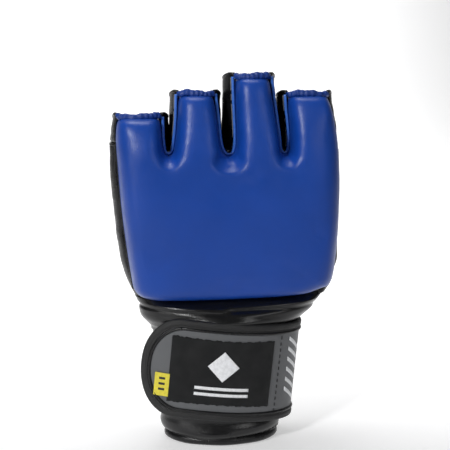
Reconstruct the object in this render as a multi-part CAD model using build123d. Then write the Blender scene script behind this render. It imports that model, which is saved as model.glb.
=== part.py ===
"""Left-hand MMA glove: padded back, four open finger stalls, thumb hole, palm window, wrap-around wrist strap.

Frame: +X towards the thumb, +Y out of the palm, +Z towards the fingertips, millimetres.
Origin: the centre of the cuff's rim, where the wrist goes in. The back of the hand faces -Y.
"""

import os
from dataclasses import dataclass
from math import sqrt

from build123d import *

# ---------------------------------------------------------------- driving dimensions

LEATHER = 1.5            # thickness of the outer leather
LINING = 1.0             # thickness of the fabric lining
CUFF_LINING = 0.8
GAP = 0.1                # clearance between sewn layers of one body
JOINT_GAP = 0.2          # half of the clearance between two moving bodies

CUFF_TOP_Z = 70.0        # the cuff runs from the rim up to here
PAD_FOOT_Z = 86.5        # lower edge of the padded back
WEB_Z = 173.2            # height of the webs, and of the finger stalls' hinge line
SEAM_Y = -9.5            # plane of the seam between the padded back and the palm leather
FLEX_Y = 17.2            # palm-side crease that the finger stalls fold about

CUFF_PADDING = 1.5       # thin foam inside the cuff
RIM_HEIGHT = 5.0         # height of the binding round the rim
RIM_PROUD = 0.9          # how far that binding stands out of the cuff
SLIT_X = (5.0, 11.0)     # the cuff's slit, on the palm side
SLIT_BINDING = 1.7       # width of the binding along each edge of the slit
SLIT_BINDING_PROUD = 0.7
GUSSET_OVERLAP = 7.0     # how far the elastic behind the slit reaches past each edge

FOAM_SPLIT_Y = -20.5     # boundary of the firm outer foam and the soft inner foam
GUSSET_X = 45.0          # the palm panel ends here, and the side gussets begin
SLOT_X = (-29.5, 0.5, 31.5)          # centres of the three slots between the stalls
SLOT_NAMES = ("pinky_ring", "ring_middle", "middle_index")
SLOT_RADIUS = 4.4        # radius of each slot's rounded foot
SLOT_CENTRE_Z = WEB_Z + 0.8
SLOT_DEPTH = 4.0         # the slots' feet go this far behind the seam plane
PIPING_RADIUS = 1.0
PIPING_DEPTH = 3.5       # the piping lies this far in front of the seam plane

WINDOW = dict(x=-2.0, z=121.0, half_width=21.0, half_height=18.0)   # the open palm
THUMB_HOLE = dict(y=8.0, z=117.0, half_width=12.0, half_height=17.0)
EDGE_BAND = 3.0          # width of the binding round the palm window and the thumb hole
BAND_PROUD = 0.7         # how far that binding stands out of the leather, on each side
WEB_HALF = 1.5           # half of the thickness of the web below each slot
WEB_Z_FOOT = 160.0
WEB_PALM_Y = 14.5

STRAP_Z = (13.0, 70.5)   # lower and upper edge of the wrist strap
STRAP_MIDDLE_Z = sum(STRAP_Z) / 2
STRAP_TIP_X = -47.0
STRAP_TIP_RADIUS = 20.0
STRAP_EDGE = 4.6         # width of the black binding round the strap
STRAP_LEAN = 0.1         # the strap's cross lines lean this far towards the thumb, per unit of height
ROOT_X = -14.0           # the strap swings off the palm side of the cuff here
ANCHOR_END_X = -30.0
TIP_REACH = 17.0         # how much wider the closed strap is than the cuff on the little-finger side

PATCH_X = (-29.5, 27.5)  # the sewn-on patch
PATCH_HEIGHT = 37.0
TAG_X = (-38.8, -30.6)   # the small tag on the tip's side of the patch
TAG_RISE = (-15.0, -1.5)         # its lower and upper edge, from the strap's middle
SEAM_X = 33.0            # the stitched seam on the thumb side of the patch
HOOK_X = (-30.0, 22.0)
HOOK_MARGIN = 9.0        # bare margin above and below the hook tape
LOOP_X = (-29.0, 25.0)
LOOP_MARGIN = 8.0
SEAM_STITCH = dict(pitch=3.4, length=2.2, width=0.6)
ANCHOR_STITCH = dict(pitch=3.2, length=2.0, width=0.6)

# Heights above the cuff's surface of each layer of the strap: (inner face, outer face).
LOOP_TAPE = (0.1, 1.0)
HOOK_TAPE = (1.4, 2.2)
STRAP_BACKING = (2.3, 3.1)
STRAP_FACE = (3.2, 4.2)
STRAP_BINDING = (2.3, 4.6)
PATCH = (4.3, 4.9)
EMBLEM = (5.0, 5.3)
TAG = (4.3, 4.7)
STRIPES = (4.25, 4.5)
ANCHOR = (0.1, 4.2)
THREAD = (4.25, 4.55)


@dataclass
class Oval:
    """An elliptical section of the cuff or the wrist sleeve."""

    z: float
    x_centre: float
    half_width: float
    half_depth: float


@dataclass
class Section:
    """A section of the hand or of a stall: four sides with rounded corners, narrower at the palm."""

    z: float
    x_little: float
    x_thumb: float
    y_back: float
    y_palm: float
    taper: float
    r_back: float
    r_palm: float


RIM = Oval(0.0, 0.0, 33.0, 23.0)
CUFF_TOP = Oval(CUFF_TOP_Z, 0.0, 40.5, 25.0)
SLEEVE = [
    Oval(CUFF_TOP_Z + GAP, 0.0, 40.5, 25.0),
    Oval(76.0, 1.8, 46.0, 25.5),
    Oval(PAD_FOOT_Z - GAP, 3.3, 50.5, 25.5),
]

HAND = [
    Section(PAD_FOOT_Z, -50.5, 60.0, -30.5, 25.0, 6.0, 16.0, 14.0),
    Section(100.0, -55.5, 65.0, -32.0, 25.0, 8.0, 17.0, 16.0),
    Section(125.0, -60.3, 67.5, -32.5, 25.0, 9.0, 17.0, 16.0),
    Section(152.0, -62.3, 68.0, -31.0, 25.0, 8.0, 17.0, 16.0),
    Section(WEB_Z - JOINT_GAP, -62.8, 66.8, -28.0, FLEX_Y - 0.2, 3.0, 15.0, 12.0),
]


@dataclass
class Finger:
    """A finger stall: its sides and its padded lobe's sides, at the web and at the hem."""

    name: str
    stall_web: tuple
    stall_hem: tuple
    lobe_web: tuple
    lobe_hem: tuple
    hem_z: float


FINGERS = [
    Finger("pinky", (-62.3, -30.0), (-61.3, -31.0), (-59.8, -32.0), (-59.0, -33.2), 191.0),
    Finger("ring", (-29.0, 0.0), (-28.0, -1.0), (-27.0, -1.5), (-25.3, -4.2), 203.5),
    Finger("middle", (1.0, 31.0), (2.0, 30.0), (5.5, 30.5), (6.2, 28.0), 213.0),
    Finger("index", (32.0, 66.0), (33.0, 60.5), (36.2, 65.5), (36.5, 59.0), 203.0),
]
STALL_FOOT_Z = WEB_Z + JOINT_GAP
STALL_PALM_Y = (FLEX_Y - 1.2, FLEX_Y - 4.2)      # palm side of a stall, at the web and at the hem
STALL_RADIUS = 8.0
LOBE_BACK_Y = (-28.0, -20.5)     # padded side of a stall, at the web and at the hem
LOBE_RADIUS = 9.0
HEM_HEIGHT = 3.2
HEM_DEPTH = 8.0
HEM_RADIUS = 1.3

# ---------------------------------------------------------------- shared helpers


def block(x=(-200, 200), y=(-200, 200), z=(-50, 300)):
    """A box between the given limits."""
    size = (x[1] - x[0], y[1] - y[0], z[1] - z[0])
    return Pos((x[0] + x[1]) / 2, (y[0] + y[1]) / 2, (z[0] + z[1]) / 2) * Box(*size)


def oval_at(ovals, z):
    """The oval at height z, between or beyond the two given."""
    low, high = ovals
    share = (z - low.z) / (high.z - low.z)

    def between(name):
        return getattr(low, name) + share * (getattr(high, name) - getattr(low, name))

    return Oval(z, between("x_centre"), between("half_width"), between("half_depth"))


def oval_body(ovals, proud=0.0):
    """A solid through the ovals, proud of them all round by the given amount."""
    faces = [Pos(o.x_centre, 0, o.z) * Ellipse(o.half_width + proud, o.half_depth + proud) for o in ovals]
    return loft(faces, ruled=True)


def oval_shell(ovals, inner, outer):
    """A wall between two heights above the surface through the ovals."""
    return oval_body(ovals, outer) - oval_body(ovals, inner)


def section_face(section, inset=0.0):
    """The section's face, smaller all round by inset."""
    slope = section.taper / (section.y_palm - section.y_back)
    push = inset * sqrt(1 + slope * slope)
    y_back, y_palm = section.y_back + inset, section.y_palm - inset

    def little(y):
        return section.x_little + slope * (y - section.y_back) + push

    def thumb(y):
        return section.x_thumb - slope * (y - section.y_back) - push

    corners = [
        (little(y_back), y_back),
        (thumb(y_back), y_back),
        (thumb(y_palm), y_palm),
        (little(y_palm), y_palm),
    ]
    face = make_face(Polyline(*corners, close=True))
    face = fillet(face.vertices().group_by(Axis.Y)[0], section.r_back - inset)
    face = fillet(face.vertices().group_by(Axis.Y)[-1], section.r_palm - inset)
    return Pos(0, 0, section.z) * face


def section_body(sections, inset=0.0):
    """A solid through the sections, smaller all round by inset."""
    return loft([section_face(s, inset) for s in sections], ruled=True)


def oblong(x, z, half_width, half_height, y=(-200, 200)):
    """An elliptical cutter along Y."""
    face = Plane.XZ * Pos(x, z) * Ellipse(half_width, half_height)
    return Pos(0, y[1], 0) * extrude(face, y[1] - y[0])


def side_oblong(y, z, half_width, half_height, x=(0, 200)):
    """An elliptical cutter along X."""
    face = Plane.YZ * Pos(y, z) * Ellipse(half_width, half_height)
    return Pos(x[0], 0, 0) * extrude(face, x[1] - x[0])


def slot_cutters(radius):
    """The rounded feet of the three slots, as one cutter."""
    return Compound([oblong(x, SLOT_CENTRE_Z, radius, radius, (-60, SEAM_Y + SLOT_DEPTH)) for x in SLOT_X])


# ---------------------------------------------------------------- the cuff


def cuff_parts():
    cuff = [RIM, CUFF_TOP]
    above_rim = block(z=(RIM_HEIGHT + GAP, CUFF_TOP_Z))
    slit = block(x=(SLIT_X[0] - SLIT_BINDING - GAP, SLIT_X[1] + SLIT_BINDING + GAP), y=(0, 60))
    shell_in = -LEATHER
    padding_in = shell_in - GAP - CUFF_PADDING
    lining_in = padding_in - GAP - CUFF_LINING

    parts = {
        "cuff_shell": (oval_shell(cuff, shell_in, 0) & above_rim) - slit,
        "cuff_padding": (oval_shell(cuff, padding_in, shell_in - GAP) & above_rim) - slit,
        "cuff_lining": (oval_shell(cuff, lining_in, padding_in - GAP) & above_rim) - slit,
    }
    slit_gap = block(x=SLIT_X, y=(0, 60))
    rim = oval_shell(cuff, lining_in, RIM_PROUD) & block(z=(0, RIM_HEIGHT))
    parts["cuff_binding"] = rim - slit_gap

    edges = oval_shell(cuff, lining_in, SLIT_BINDING_PROUD) & above_rim
    sides = [
        block(x=(SLIT_X[0] - SLIT_BINDING, SLIT_X[0]), y=(0, 60)),
        block(x=(SLIT_X[1], SLIT_X[1] + SLIT_BINDING), y=(0, 60)),
    ]
    parts["slit_binding"] = cut_apart(edges, sides)

    gusset = oval_shell(cuff, lining_in - GAP - LINING, lining_in - GAP)
    gusset_x = (SLIT_X[0] - GUSSET_OVERLAP, SLIT_X[1] + GUSSET_OVERLAP)
    parts["elastic_gusset"] = gusset & above_rim & block(x=gusset_x, y=(0, 60))

    loop_z = (STRAP_Z[0] + LOOP_MARGIN, STRAP_Z[1] - LOOP_MARGIN)
    parts["loop_tape"] = oval_shell(cuff, *LOOP_TAPE) & block(x=LOOP_X, y=(-60, 0), z=loop_z)
    return parts


def wrist_sleeve():
    return oval_shell(SLEEVE, -LEATHER, 0)


# ---------------------------------------------------------------- the strap


def strap_body(proud):
    """The closed strap's inside volume: the cuff's oval, drawn out towards the little finger."""
    faces = []
    for z in (STRAP_Z[0] - 1, STRAP_Z[1] + 1):
        oval = oval_at((RIM, CUFF_TOP), z)
        depth = oval.half_depth + proud
        thumb_half = Ellipse(oval.half_width + proud, depth) & Pos(100, 0) * Rectangle(200, 200)
        little_half = Ellipse(oval.half_width + TIP_REACH + proud, depth) & Pos(-100, 0) * Rectangle(200, 200)
        faces.append(Pos(oval.x_centre, 0, z) * (thumb_half + little_half))
    return loft(faces, ruled=True)


def strap_layer(heights):
    return strap_body(heights[1]) - strap_body(heights[0])


def tab_outline(margin=0.0):
    """The free end of the strap, seen on the back of the wrist, as a cutter along Y."""
    low, high = STRAP_Z[0] + margin, STRAP_Z[1] - margin
    tip, far = STRAP_TIP_X + margin, 90.0
    face = Pos((tip + far) / 2, (low + high) / 2) * RectangleRounded(
        far - tip, high - low, STRAP_TIP_RADIUS - margin
    )
    return extrude(Plane.XZ * face, 80) & block(x=(tip - 1, 70), y=(-80, -JOINT_GAP))


def leaning(x, z):
    """A cutter along Y between two x and two heights, leaning as the strap's cross lines do."""
    corners = [
        (side + STRAP_LEAN * (height - STRAP_MIDDLE_Z), height)
        for side, height in ((x[0], z[0]), (x[1], z[0]), (x[1], z[1]), (x[0], z[1]))
    ]
    return extrude(Plane.XZ * make_face(Polyline(*corners, close=True)), 60)


def strap_tab_parts():
    whole = tab_outline()
    inside_binding = tab_outline(STRAP_EDGE)
    inside_gap = tab_outline(STRAP_EDGE + GAP)
    patch_z = (STRAP_MIDDLE_Z - PATCH_HEIGHT / 2, STRAP_MIDDLE_Z + PATCH_HEIGHT / 2)
    tag_z = (STRAP_MIDDLE_Z + TAG_RISE[0], STRAP_MIDDLE_Z + TAG_RISE[1])
    hook_z = (STRAP_Z[0] + HOOK_MARGIN, STRAP_Z[1] - HOOK_MARGIN)
    return {
        "strap_face": strap_layer(STRAP_FACE) & inside_gap,
        "strap_backing": strap_layer(STRAP_BACKING) & inside_gap,
        "strap_binding": strap_layer(STRAP_BINDING) & (whole - inside_binding),
        "hook_tape": strap_layer(HOOK_TAPE) & block(x=HOOK_X, y=(-60, 0), z=hook_z),
        "strap_patch": strap_layer(PATCH) & leaning(PATCH_X, patch_z),
        "size_tag": strap_layer(TAG) & leaning(TAG_X, tag_z),
        "patch_emblem": patch_emblem(),
        "seam_stitches": seam_stitches(),
        "side_stripes": side_stripes(),
    }


def cut_apart(layer, cutters):
    """What each cutter takes from the layer, as one node of separate solids."""
    return Compound([solid for cutter in cutters for solid in (layer & cutter).solids()])


def patch_emblem():
    """A plain printed device on the patch: a lozenge over two bars."""
    lozenge = Pos(0, -30, STRAP_MIDDLE_Z + 4) * Rot(0, 45, 0) * Box(12, 60, 12)
    bars = [
        leaning((-15, 15), (STRAP_MIDDLE_Z + rise, STRAP_MIDDLE_Z + rise + 1.6)) for rise in (-9.5, -13)
    ]
    return cut_apart(strap_layer(EMBLEM), [lozenge, *bars])


def seam_stitches():
    """The short stitches of the seam beside the patch."""
    half = SEAM_STITCH["width"] / 2
    low, high = STRAP_Z[0] + STRAP_EDGE + 1.2, STRAP_Z[1] - STRAP_EDGE - 1.2
    bars = [
        leaning((SEAM_X - half, SEAM_X + half), (z, z + SEAM_STITCH["length"]))
        for z in steps(low, high, SEAM_STITCH)
    ]
    return cut_apart(strap_layer(THREAD), bars)


def side_stripes():
    """Slanted printed bars where the strap turns round the thumb side."""
    pitch, count, thick, slant = 6.0, 6, 2.6, 25
    edge = block(x=(37.0, 60), y=(-60, -1.5))
    first = STRAP_MIDDLE_Z - pitch * (count - 1) / 2
    bars = [Pos(40, -30, first + n * pitch) * Rot(0, slant, 0) * Box(60, 60, thick) for n in range(count)]
    return cut_apart(strap_layer(STRIPES) & edge, bars)


def strap_base_parts():
    """The strap from the thumb side round to its root on the palm side, and its sewn-down end."""
    low, high = STRAP_Z[0] + STRAP_EDGE, STRAP_Z[1] - STRAP_EDGE
    free = dict(x=(ROOT_X + JOINT_GAP, 70), y=(JOINT_GAP, 60))
    between = block(**free, z=(low + GAP, high - GAP))
    edges = [block(**free, z=(STRAP_Z[0], low)), block(**free, z=(high, STRAP_Z[1]))]
    sewn = block(x=(ANCHOR_END_X, ROOT_X - JOINT_GAP), y=(0, 60), z=STRAP_Z)
    return {
        "strap_base_face": strap_layer(STRAP_FACE) & between,
        "strap_base_backing": strap_layer(STRAP_BACKING) & between,
        "strap_base_binding": cut_apart(strap_layer(STRAP_BINDING), edges),
        "strap_anchor": oval_shell([RIM, CUFF_TOP], *ANCHOR) & sewn,
        "anchor_stitches": anchor_stitches(),
    }


def anchor_stitches():
    """A sewn box of stitches, holding the strap's end to the cuff."""
    x_ends = (ANCHOR_END_X + 2.5, ROOT_X - 3.0)
    z_ends = (STRAP_Z[0] + 7.0, STRAP_Z[1] - 7.0)
    half, length = ANCHOR_STITCH["width"] / 2, ANCHOR_STITCH["length"]
    upright = [
        block(x=(x - half, x + half), z=(z, z + length))
        for x in x_ends
        for z in steps(*z_ends, ANCHOR_STITCH)
    ]
    level = [
        block(x=(x, x + length), z=(z - half, z + half))
        for z in z_ends
        for x in steps(x_ends[0] + 0.8, x_ends[1] - 0.4, ANCHOR_STITCH)
    ]
    layer = oval_shell([RIM, CUFF_TOP], *THREAD) & block(y=(0, 60))
    return cut_apart(layer, upright + level)


def steps(start, end, stitch):
    """Starting points of the stitches that fit between two ends."""
    count = int((end - start - stitch["length"]) / stitch["pitch"]) + 1
    return [start + n * stitch["pitch"] for n in range(count)]


# ---------------------------------------------------------------- the hand


def hand_parts():
    outer = section_body(HAND)
    under_leather = section_body(HAND, LEATHER)
    under_cover = section_body(HAND, LEATHER + GAP)
    back = block(y=(-60, SEAM_Y))
    front_of_floor = block(z=(PAD_FOOT_Z + LEATHER + GAP, 200))

    cover = (outer - (under_leather & block(z=(PAD_FOOT_Z + LEATHER, 300)))) & back
    foam = under_cover & front_of_floor
    foam_notch = slot_cutters(SLOT_RADIUS + LEATHER)
    lining_y = (SEAM_Y + GAP, SEAM_Y + GAP + LINING)
    parts = {
        "back_cover": cover - slot_cutters(SLOT_RADIUS),
        "firm_foam": (foam & block(y=(-60, FOAM_SPLIT_Y))) - foam_notch,
        "soft_foam": (foam & block(y=(FOAM_SPLIT_Y + GAP, SEAM_Y - GAP))) - foam_notch,
        "back_lining": under_cover & block(y=lining_y, z=(PAD_FOOT_Z, 300)),
    }
    parts.update(palm_parts(outer - under_leather))
    parts.update(web_parts())
    return parts


def palm_parts(wall):
    """The palm panel and the two side gussets, with their bound openings."""
    leather = wall & block(y=(SEAM_Y + GAP, 60))
    window = oblong(**WINDOW, y=(0, 60))
    window_cut = oblong(**grown(WINDOW, EDGE_BAND + GAP), y=(0, 60))
    thumb = side_oblong(**THUMB_HOLE)
    thumb_cut = side_oblong(**grown(THUMB_HOLE, EDGE_BAND + GAP))
    band = section_body(HAND, -BAND_PROUD) - section_body(HAND, LEATHER + BAND_PROUD)
    palm_band = oblong(**grown(WINDOW, EDGE_BAND), y=(0, 60)) - window
    thumb_band = side_oblong(**grown(THUMB_HOLE, EDGE_BAND)) - thumb
    return {
        "palm_panel": (leather & block(x=(-GUSSET_X + GAP, GUSSET_X - GAP))) - window_cut,
        "pinky_gusset": leather & block(x=(-90, -GUSSET_X)),
        "thumb_gusset": (leather & block(x=(GUSSET_X, 90))) - thumb_cut,
        "palm_binding": band & palm_band & block(x=(-GUSSET_X + GAP, GUSSET_X - GAP)),
        "thumb_binding": band & thumb_band & block(x=(GUSSET_X, 90)),
    }


def grown(opening, amount):
    """The same opening, wider and taller by amount on every side."""
    wider = dict(opening)
    wider["half_width"] += amount
    wider["half_height"] += amount
    return wider


def web_parts():
    """Between each two stalls: the black web under the slot, and the blue piping round its foot."""
    parts = {}
    for name, x in zip(SLOT_NAMES, SLOT_X):
        web_y = (SEAM_Y + 2 * GAP + LINING, WEB_PALM_Y)
        web = block(x=(x - WEB_HALF, x + WEB_HALF), y=web_y, z=(WEB_Z_FOOT, HAND[-1].z))
        parts["web_" + name] = fillet(web.edges().filter_by(Axis.Y).group_by(Axis.Z)[0], WEB_HALF * 0.8)
        across = Plane.XZ.offset(PIPING_DEPTH - SEAM_Y) * Pos(x, SLOT_CENTRE_Z)
        ring = across * Circle(SLOT_RADIUS - GAP) - across * Circle(SLOT_RADIUS - GAP - 2 * PIPING_RADIUS)
        parts["piping_" + name] = extrude(ring, 2 * PIPING_RADIUS) & block(z=(0, HAND[-1].z))
    return parts


# ---------------------------------------------------------------- the finger stalls


def finger_parts(finger):
    """One stall: black leather on the palm side, a padded lobe on the back, and a rolled hem."""
    foot, hem = STALL_FOOT_Z, finger.hem_z
    lobe_top = hem - HEM_HEIGHT - GAP
    shape = dict(taper=0.1, r_back=LOBE_RADIUS, r_palm=STALL_RADIUS)
    stall = [
        Section(foot, *finger.stall_web, y_back=-60, y_palm=STALL_PALM_Y[0], **shape),
        Section(hem, *finger.stall_hem, y_back=-60, y_palm=STALL_PALM_Y[1], **shape),
    ]
    lobe = [
        Section(foot, *finger.lobe_web, y_back=LOBE_BACK_Y[0], y_palm=20, **shape),
        Section(lobe_top, *finger.lobe_hem, y_back=LOBE_BACK_Y[1], y_palm=20, **shape),
    ]
    palm_side = block(y=(SEAM_Y + GAP, 60))
    back_side = block(y=(-60, SEAM_Y))
    lining_y = (SEAM_Y + GAP, SEAM_Y + GAP + LINING)
    foam_z = (foot + GAP, lobe_top - LEATHER - GAP)
    hollow = section_body(lobe, LEATHER) & block(z=(0, lobe_top - LEATHER))
    hem_bar = block(x=finger.lobe_hem, y=(SEAM_Y - HEM_DEPTH, SEAM_Y), z=(lobe_top + GAP, hem))
    return {
        finger.name + "_stall": (section_body(stall) - section_body(stall, LEATHER)) & palm_side,
        finger.name + "_lining": section_body(stall, LEATHER + GAP) & block(y=lining_y),
        finger.name + "_cover": (section_body(lobe) - hollow) & back_side,
        finger.name + "_foam": section_body(lobe, LEATHER + GAP) & block(y=(-60, SEAM_Y - GAP), z=foam_z),
        finger.name + "_hem": fillet(hem_bar.edges().filter_by(Axis.X), HEM_RADIUS),
    }


# ---------------------------------------------------------------- the whole glove


def main():
    parts = {**cuff_parts(), "wrist_sleeve": wrist_sleeve()}
    parts.update(strap_tab_parts())
    parts.update(strap_base_parts())
    parts.update(hand_parts())
    for finger in FINGERS:
        parts.update(finger_parts(finger))

    os.makedirs("parts", exist_ok=True)
    for name, shape in parts.items():
        solids = shape.solids()
        export_step(solids[0] if len(solids) == 1 else Compound(solids), f"parts/{name}.step")
    print(len(parts), "nodes")


main()
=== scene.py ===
"""A left-hand MMA glove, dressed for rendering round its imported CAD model.

Lengths are millimetres until a mesh is made; the scene is in metres.
Frame: +X towards the thumb, +Y out of the palm, +Z towards the fingertips. The padded back faces -Y.
"""

from math import cos, pi, radians, sin

import bmesh
import bpy
import numpy as np
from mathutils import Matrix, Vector
from mathutils.kdtree import KDTree


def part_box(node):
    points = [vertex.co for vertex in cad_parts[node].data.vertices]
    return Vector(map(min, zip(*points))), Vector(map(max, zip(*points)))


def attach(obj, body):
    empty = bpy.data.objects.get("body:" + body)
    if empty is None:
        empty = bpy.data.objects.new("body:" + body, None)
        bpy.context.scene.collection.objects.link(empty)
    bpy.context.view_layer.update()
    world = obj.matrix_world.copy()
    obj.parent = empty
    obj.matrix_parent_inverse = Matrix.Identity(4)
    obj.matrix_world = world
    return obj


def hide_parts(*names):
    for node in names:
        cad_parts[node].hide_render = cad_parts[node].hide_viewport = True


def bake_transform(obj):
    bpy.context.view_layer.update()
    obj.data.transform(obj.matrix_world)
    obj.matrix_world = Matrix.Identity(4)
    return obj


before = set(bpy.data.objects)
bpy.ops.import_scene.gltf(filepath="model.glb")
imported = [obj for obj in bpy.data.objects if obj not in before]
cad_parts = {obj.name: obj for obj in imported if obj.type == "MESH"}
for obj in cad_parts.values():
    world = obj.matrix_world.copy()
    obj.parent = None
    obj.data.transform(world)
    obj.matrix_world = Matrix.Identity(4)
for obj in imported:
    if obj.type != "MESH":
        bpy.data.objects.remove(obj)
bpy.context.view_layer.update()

MM = 0.001


def low(node, axis):
    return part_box(node)[0][axis] / MM


def high(node, axis):
    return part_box(node)[1][axis] / MM


# ---------------------------------------------------------------- places read from the CAD model

PAD_FOOT = low("back_cover", 2)
SEAM_Y = high("back_cover", 1)
PALM_Y = high("palm_panel", 1)
WEB_Z = low("ring_cover", 2)
HEM_TOP = {name: high(name + "_hem", 2) for name in ("pinky", "ring", "middle", "index")}
HEM_FOOT = {name: low(name + "_hem", 2) for name in HEM_TOP}
CUFF_TOP = high("cuff_shell", 2)
STRAP_LOW, STRAP_HIGH = low("strap_binding", 2), high("strap_binding", 2)
STRAP_MIDDLE = (STRAP_LOW + STRAP_HIGH) / 2
STRAP_HALF = (STRAP_HIGH - STRAP_LOW) / 2
SLOTS = {name: (low("web_" + name, 0) + high("web_" + name, 0)) / 2
         for name in ("pinky_ring", "ring_middle", "middle_index")}

# ---------------------------------------------------------------- curves and fields


def curve(*knots):
    """A smooth function through (position, value) knots, level beyond its ends."""
    at, value = np.array(knots, float).T
    slope = np.gradient(value, at)

    def evaluate(t):
        t = np.clip(t, at[0], at[-1])
        i = np.clip(np.searchsorted(at, t) - 1, 0, len(at) - 2)
        width = at[i + 1] - at[i]
        s = (t - at[i]) / width
        start = (1 + 2 * s) * (1 - s) ** 2 * value[i] + s * (1 - s) ** 2 * width * slope[i]
        return start + s * s * (3 - 2 * s) * value[i + 1] + s * s * (s - 1) * width * slope[i + 1]

    return evaluate


def smooth_path(points, count):
    """Evenly spaced points on a smooth curve through the given ones."""
    p = np.array(points, float)
    p = np.vstack([2 * p[0] - p[1], p, 2 * p[-1] - p[-2]])
    t = np.linspace(0, 1, 12, endpoint=False)[:, None]
    runs = []
    for a, b, c, d in zip(p, p[1:], p[2:], p[3:]):
        cubic = (3 * b - a - 3 * c + d) * t**3
        runs.append(0.5 * (2 * b + (c - a) * t + (2 * a - 5 * b + 4 * c - d) * t**2 + cubic))
    line = np.vstack(runs + [p[-2][None]])
    return spaced(line, count)


def spaced(line, count):
    """The line again, as evenly spaced points."""
    along = np.concatenate([[0], np.cumsum(np.linalg.norm(np.diff(line, axis=0), axis=1))])
    at = np.linspace(0, along[-1], count)
    return np.stack([np.interp(at, along, line[:, k]) for k in range(line.shape[1])], axis=1)


def unit(vectors):
    """The vectors, each made 1 long."""
    return vectors / np.linalg.norm(vectors, axis=-1, keepdims=True)


def left_of(line):
    """Unit directions to the left of a flat line, one for each of its points."""
    along = unit(np.gradient(line, axis=0))
    return np.stack([-along[:, 1], along[:, 0]], axis=1)


def crossed(first, second):
    """Two rows of numbers as a pair of grids."""
    return np.meshgrid(first, second, indexing="ij")


def line_distance(x, z, line):
    """How far each (x, z) is from a line of points."""
    best = np.full(np.shape(x), 1e9)
    for (x0, z0), (x1, z1) in zip(line, line[1:]):
        dx, dz = x1 - x0, z1 - z0
        t = np.clip(((x - x0) * dx + (z - z0) * dz) / (dx * dx + dz * dz + 1e-12), 0, 1)
        best = np.minimum(best, np.hypot(x - x0 - t * dx, z - z0 - t * dz))
    return best


def within(x, z, loop):
    """Whether each (x, z) is inside a closed loop."""
    odd = np.zeros(np.shape(x), bool)
    for (x0, z0), (x1, z1) in zip(loop, np.roll(loop, -1, axis=0)):
        if z0 == z1:
            continue
        crosses = (z0 > z) != (z1 > z)
        odd ^= crosses & (x < (x1 - x0) * (z - z0) / (z1 - z0) + x0)
    return odd


def soft_min(a, b, soft):
    """The smaller of two fields, with the corner between them rounded."""
    return np.minimum(a, b) - soft * np.log1p(np.exp(-np.abs(a - b) / soft))


def ripple(points, wavelength, seed, stretch=(1, 1, 1)):
    """Smooth unevenness from -1 to 1, the same on every run."""
    random = np.random.default_rng(seed)
    waves = 14
    directions = random.normal(size=(waves, 3)) * 3.2 / wavelength / np.array(stretch)
    phases = random.uniform(0, 2 * pi, waves)
    return np.clip(np.sin(points @ directions.T + phases).sum(axis=-1) / 4.5, -1, 1)


def surface_nets(field, low_corner, high_corner, voxel):
    """Points and quads on the surface where the field, positive inside, is zero."""
    axes = [np.arange(a - voxel, b + 2 * voxel, voxel) for a, b in zip(low_corner, high_corner)]
    grid = np.stack(np.meshgrid(*axes, indexing="ij"), axis=-1)
    value = field(grid[..., 0], grid[..., 1], grid[..., 2])
    cells = tuple(n - 1 for n in value.shape)
    total, count = np.zeros(cells + (3,)), np.zeros(cells)
    edges = []
    for axis in range(3):
        first = [slice(None)] * 3
        second = [slice(None)] * 3
        first[axis], second[axis] = slice(0, -1), slice(1, None)
        a, b = value[tuple(first)], value[tuple(second)]
        crosses = (a > 0) != (b > 0)
        share = np.where(crosses, a / np.where(crosses, a - b, 1), 0)
        place = grid[tuple(first)].copy()
        place[..., axis] += share * voxel
        others = [k for k in range(3) if k != axis]
        for i in (0, 1):
            for j in (0, 1):
                part = [slice(None)] * 3
                part[others[0]] = slice(i, i + cells[others[0]])
                part[others[1]] = slice(j, j + cells[others[1]])
                total += place[tuple(part)] * crosses[tuple(part)][..., None]
                count += crosses[tuple(part)]
        edges.append((crosses, a > 0))
    active = count > 0
    index = np.full(cells, -1)
    index[active] = np.arange(active.sum())
    points = total[active] / count[active][:, None]
    faces = []
    for axis, (crosses, starts_inside) in enumerate(edges):
        u, v = (axis + 1) % 3, (axis + 2) % 3
        at = np.argwhere(crosses)
        at = at[(at[:, u] > 0) & (at[:, v] > 0) & (at[:, u] < cells[u]) & (at[:, v] < cells[v])]
        du, dv = np.eye(3, dtype=int)[u], np.eye(3, dtype=int)[v]
        quad = np.stack([index[tuple(p.T)] for p in (at - du - dv, at - dv, at, at - du)], axis=1)
        flipped = ~starts_inside[tuple(at.T)]
        quad[flipped] = quad[flipped][:, ::-1]
        faces.append(quad)
    return points, np.vstack(faces)


def gradient(field, points, step=0.05):
    """The field's slope at each point."""
    slope = np.empty_like(points)
    for k in range(3):
        d = np.zeros(3)
        d[k] = step
        slope[:, k] = (field(*(points + d).T) - field(*(points - d).T)) / (2 * step)
    return slope


def settle(field, points, rounds=3, reach=0.6):
    """Moves points onto the field's surface, by small steps."""
    for _ in range(rounds):
        slope = gradient(field, points)
        move = -field(*points.T)[:, None] * slope / ((slope**2).sum(axis=1)[:, None] + 1e-9)
        length = np.linalg.norm(move, axis=1)[:, None]
        points = points + move * np.minimum(1, reach / np.maximum(length, 1e-9))
    return points


# ---------------------------------------------------------------- making meshes


def joined(shapes):
    """Several (points, faces) shapes as one."""
    points, faces, base = [], [], 0
    for p, f in shapes:
        points.append(np.asarray(p))
        faces += [tuple(int(i) + base for i in face) for face in f]
        base += len(p)
    return np.vstack(points), faces


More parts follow.
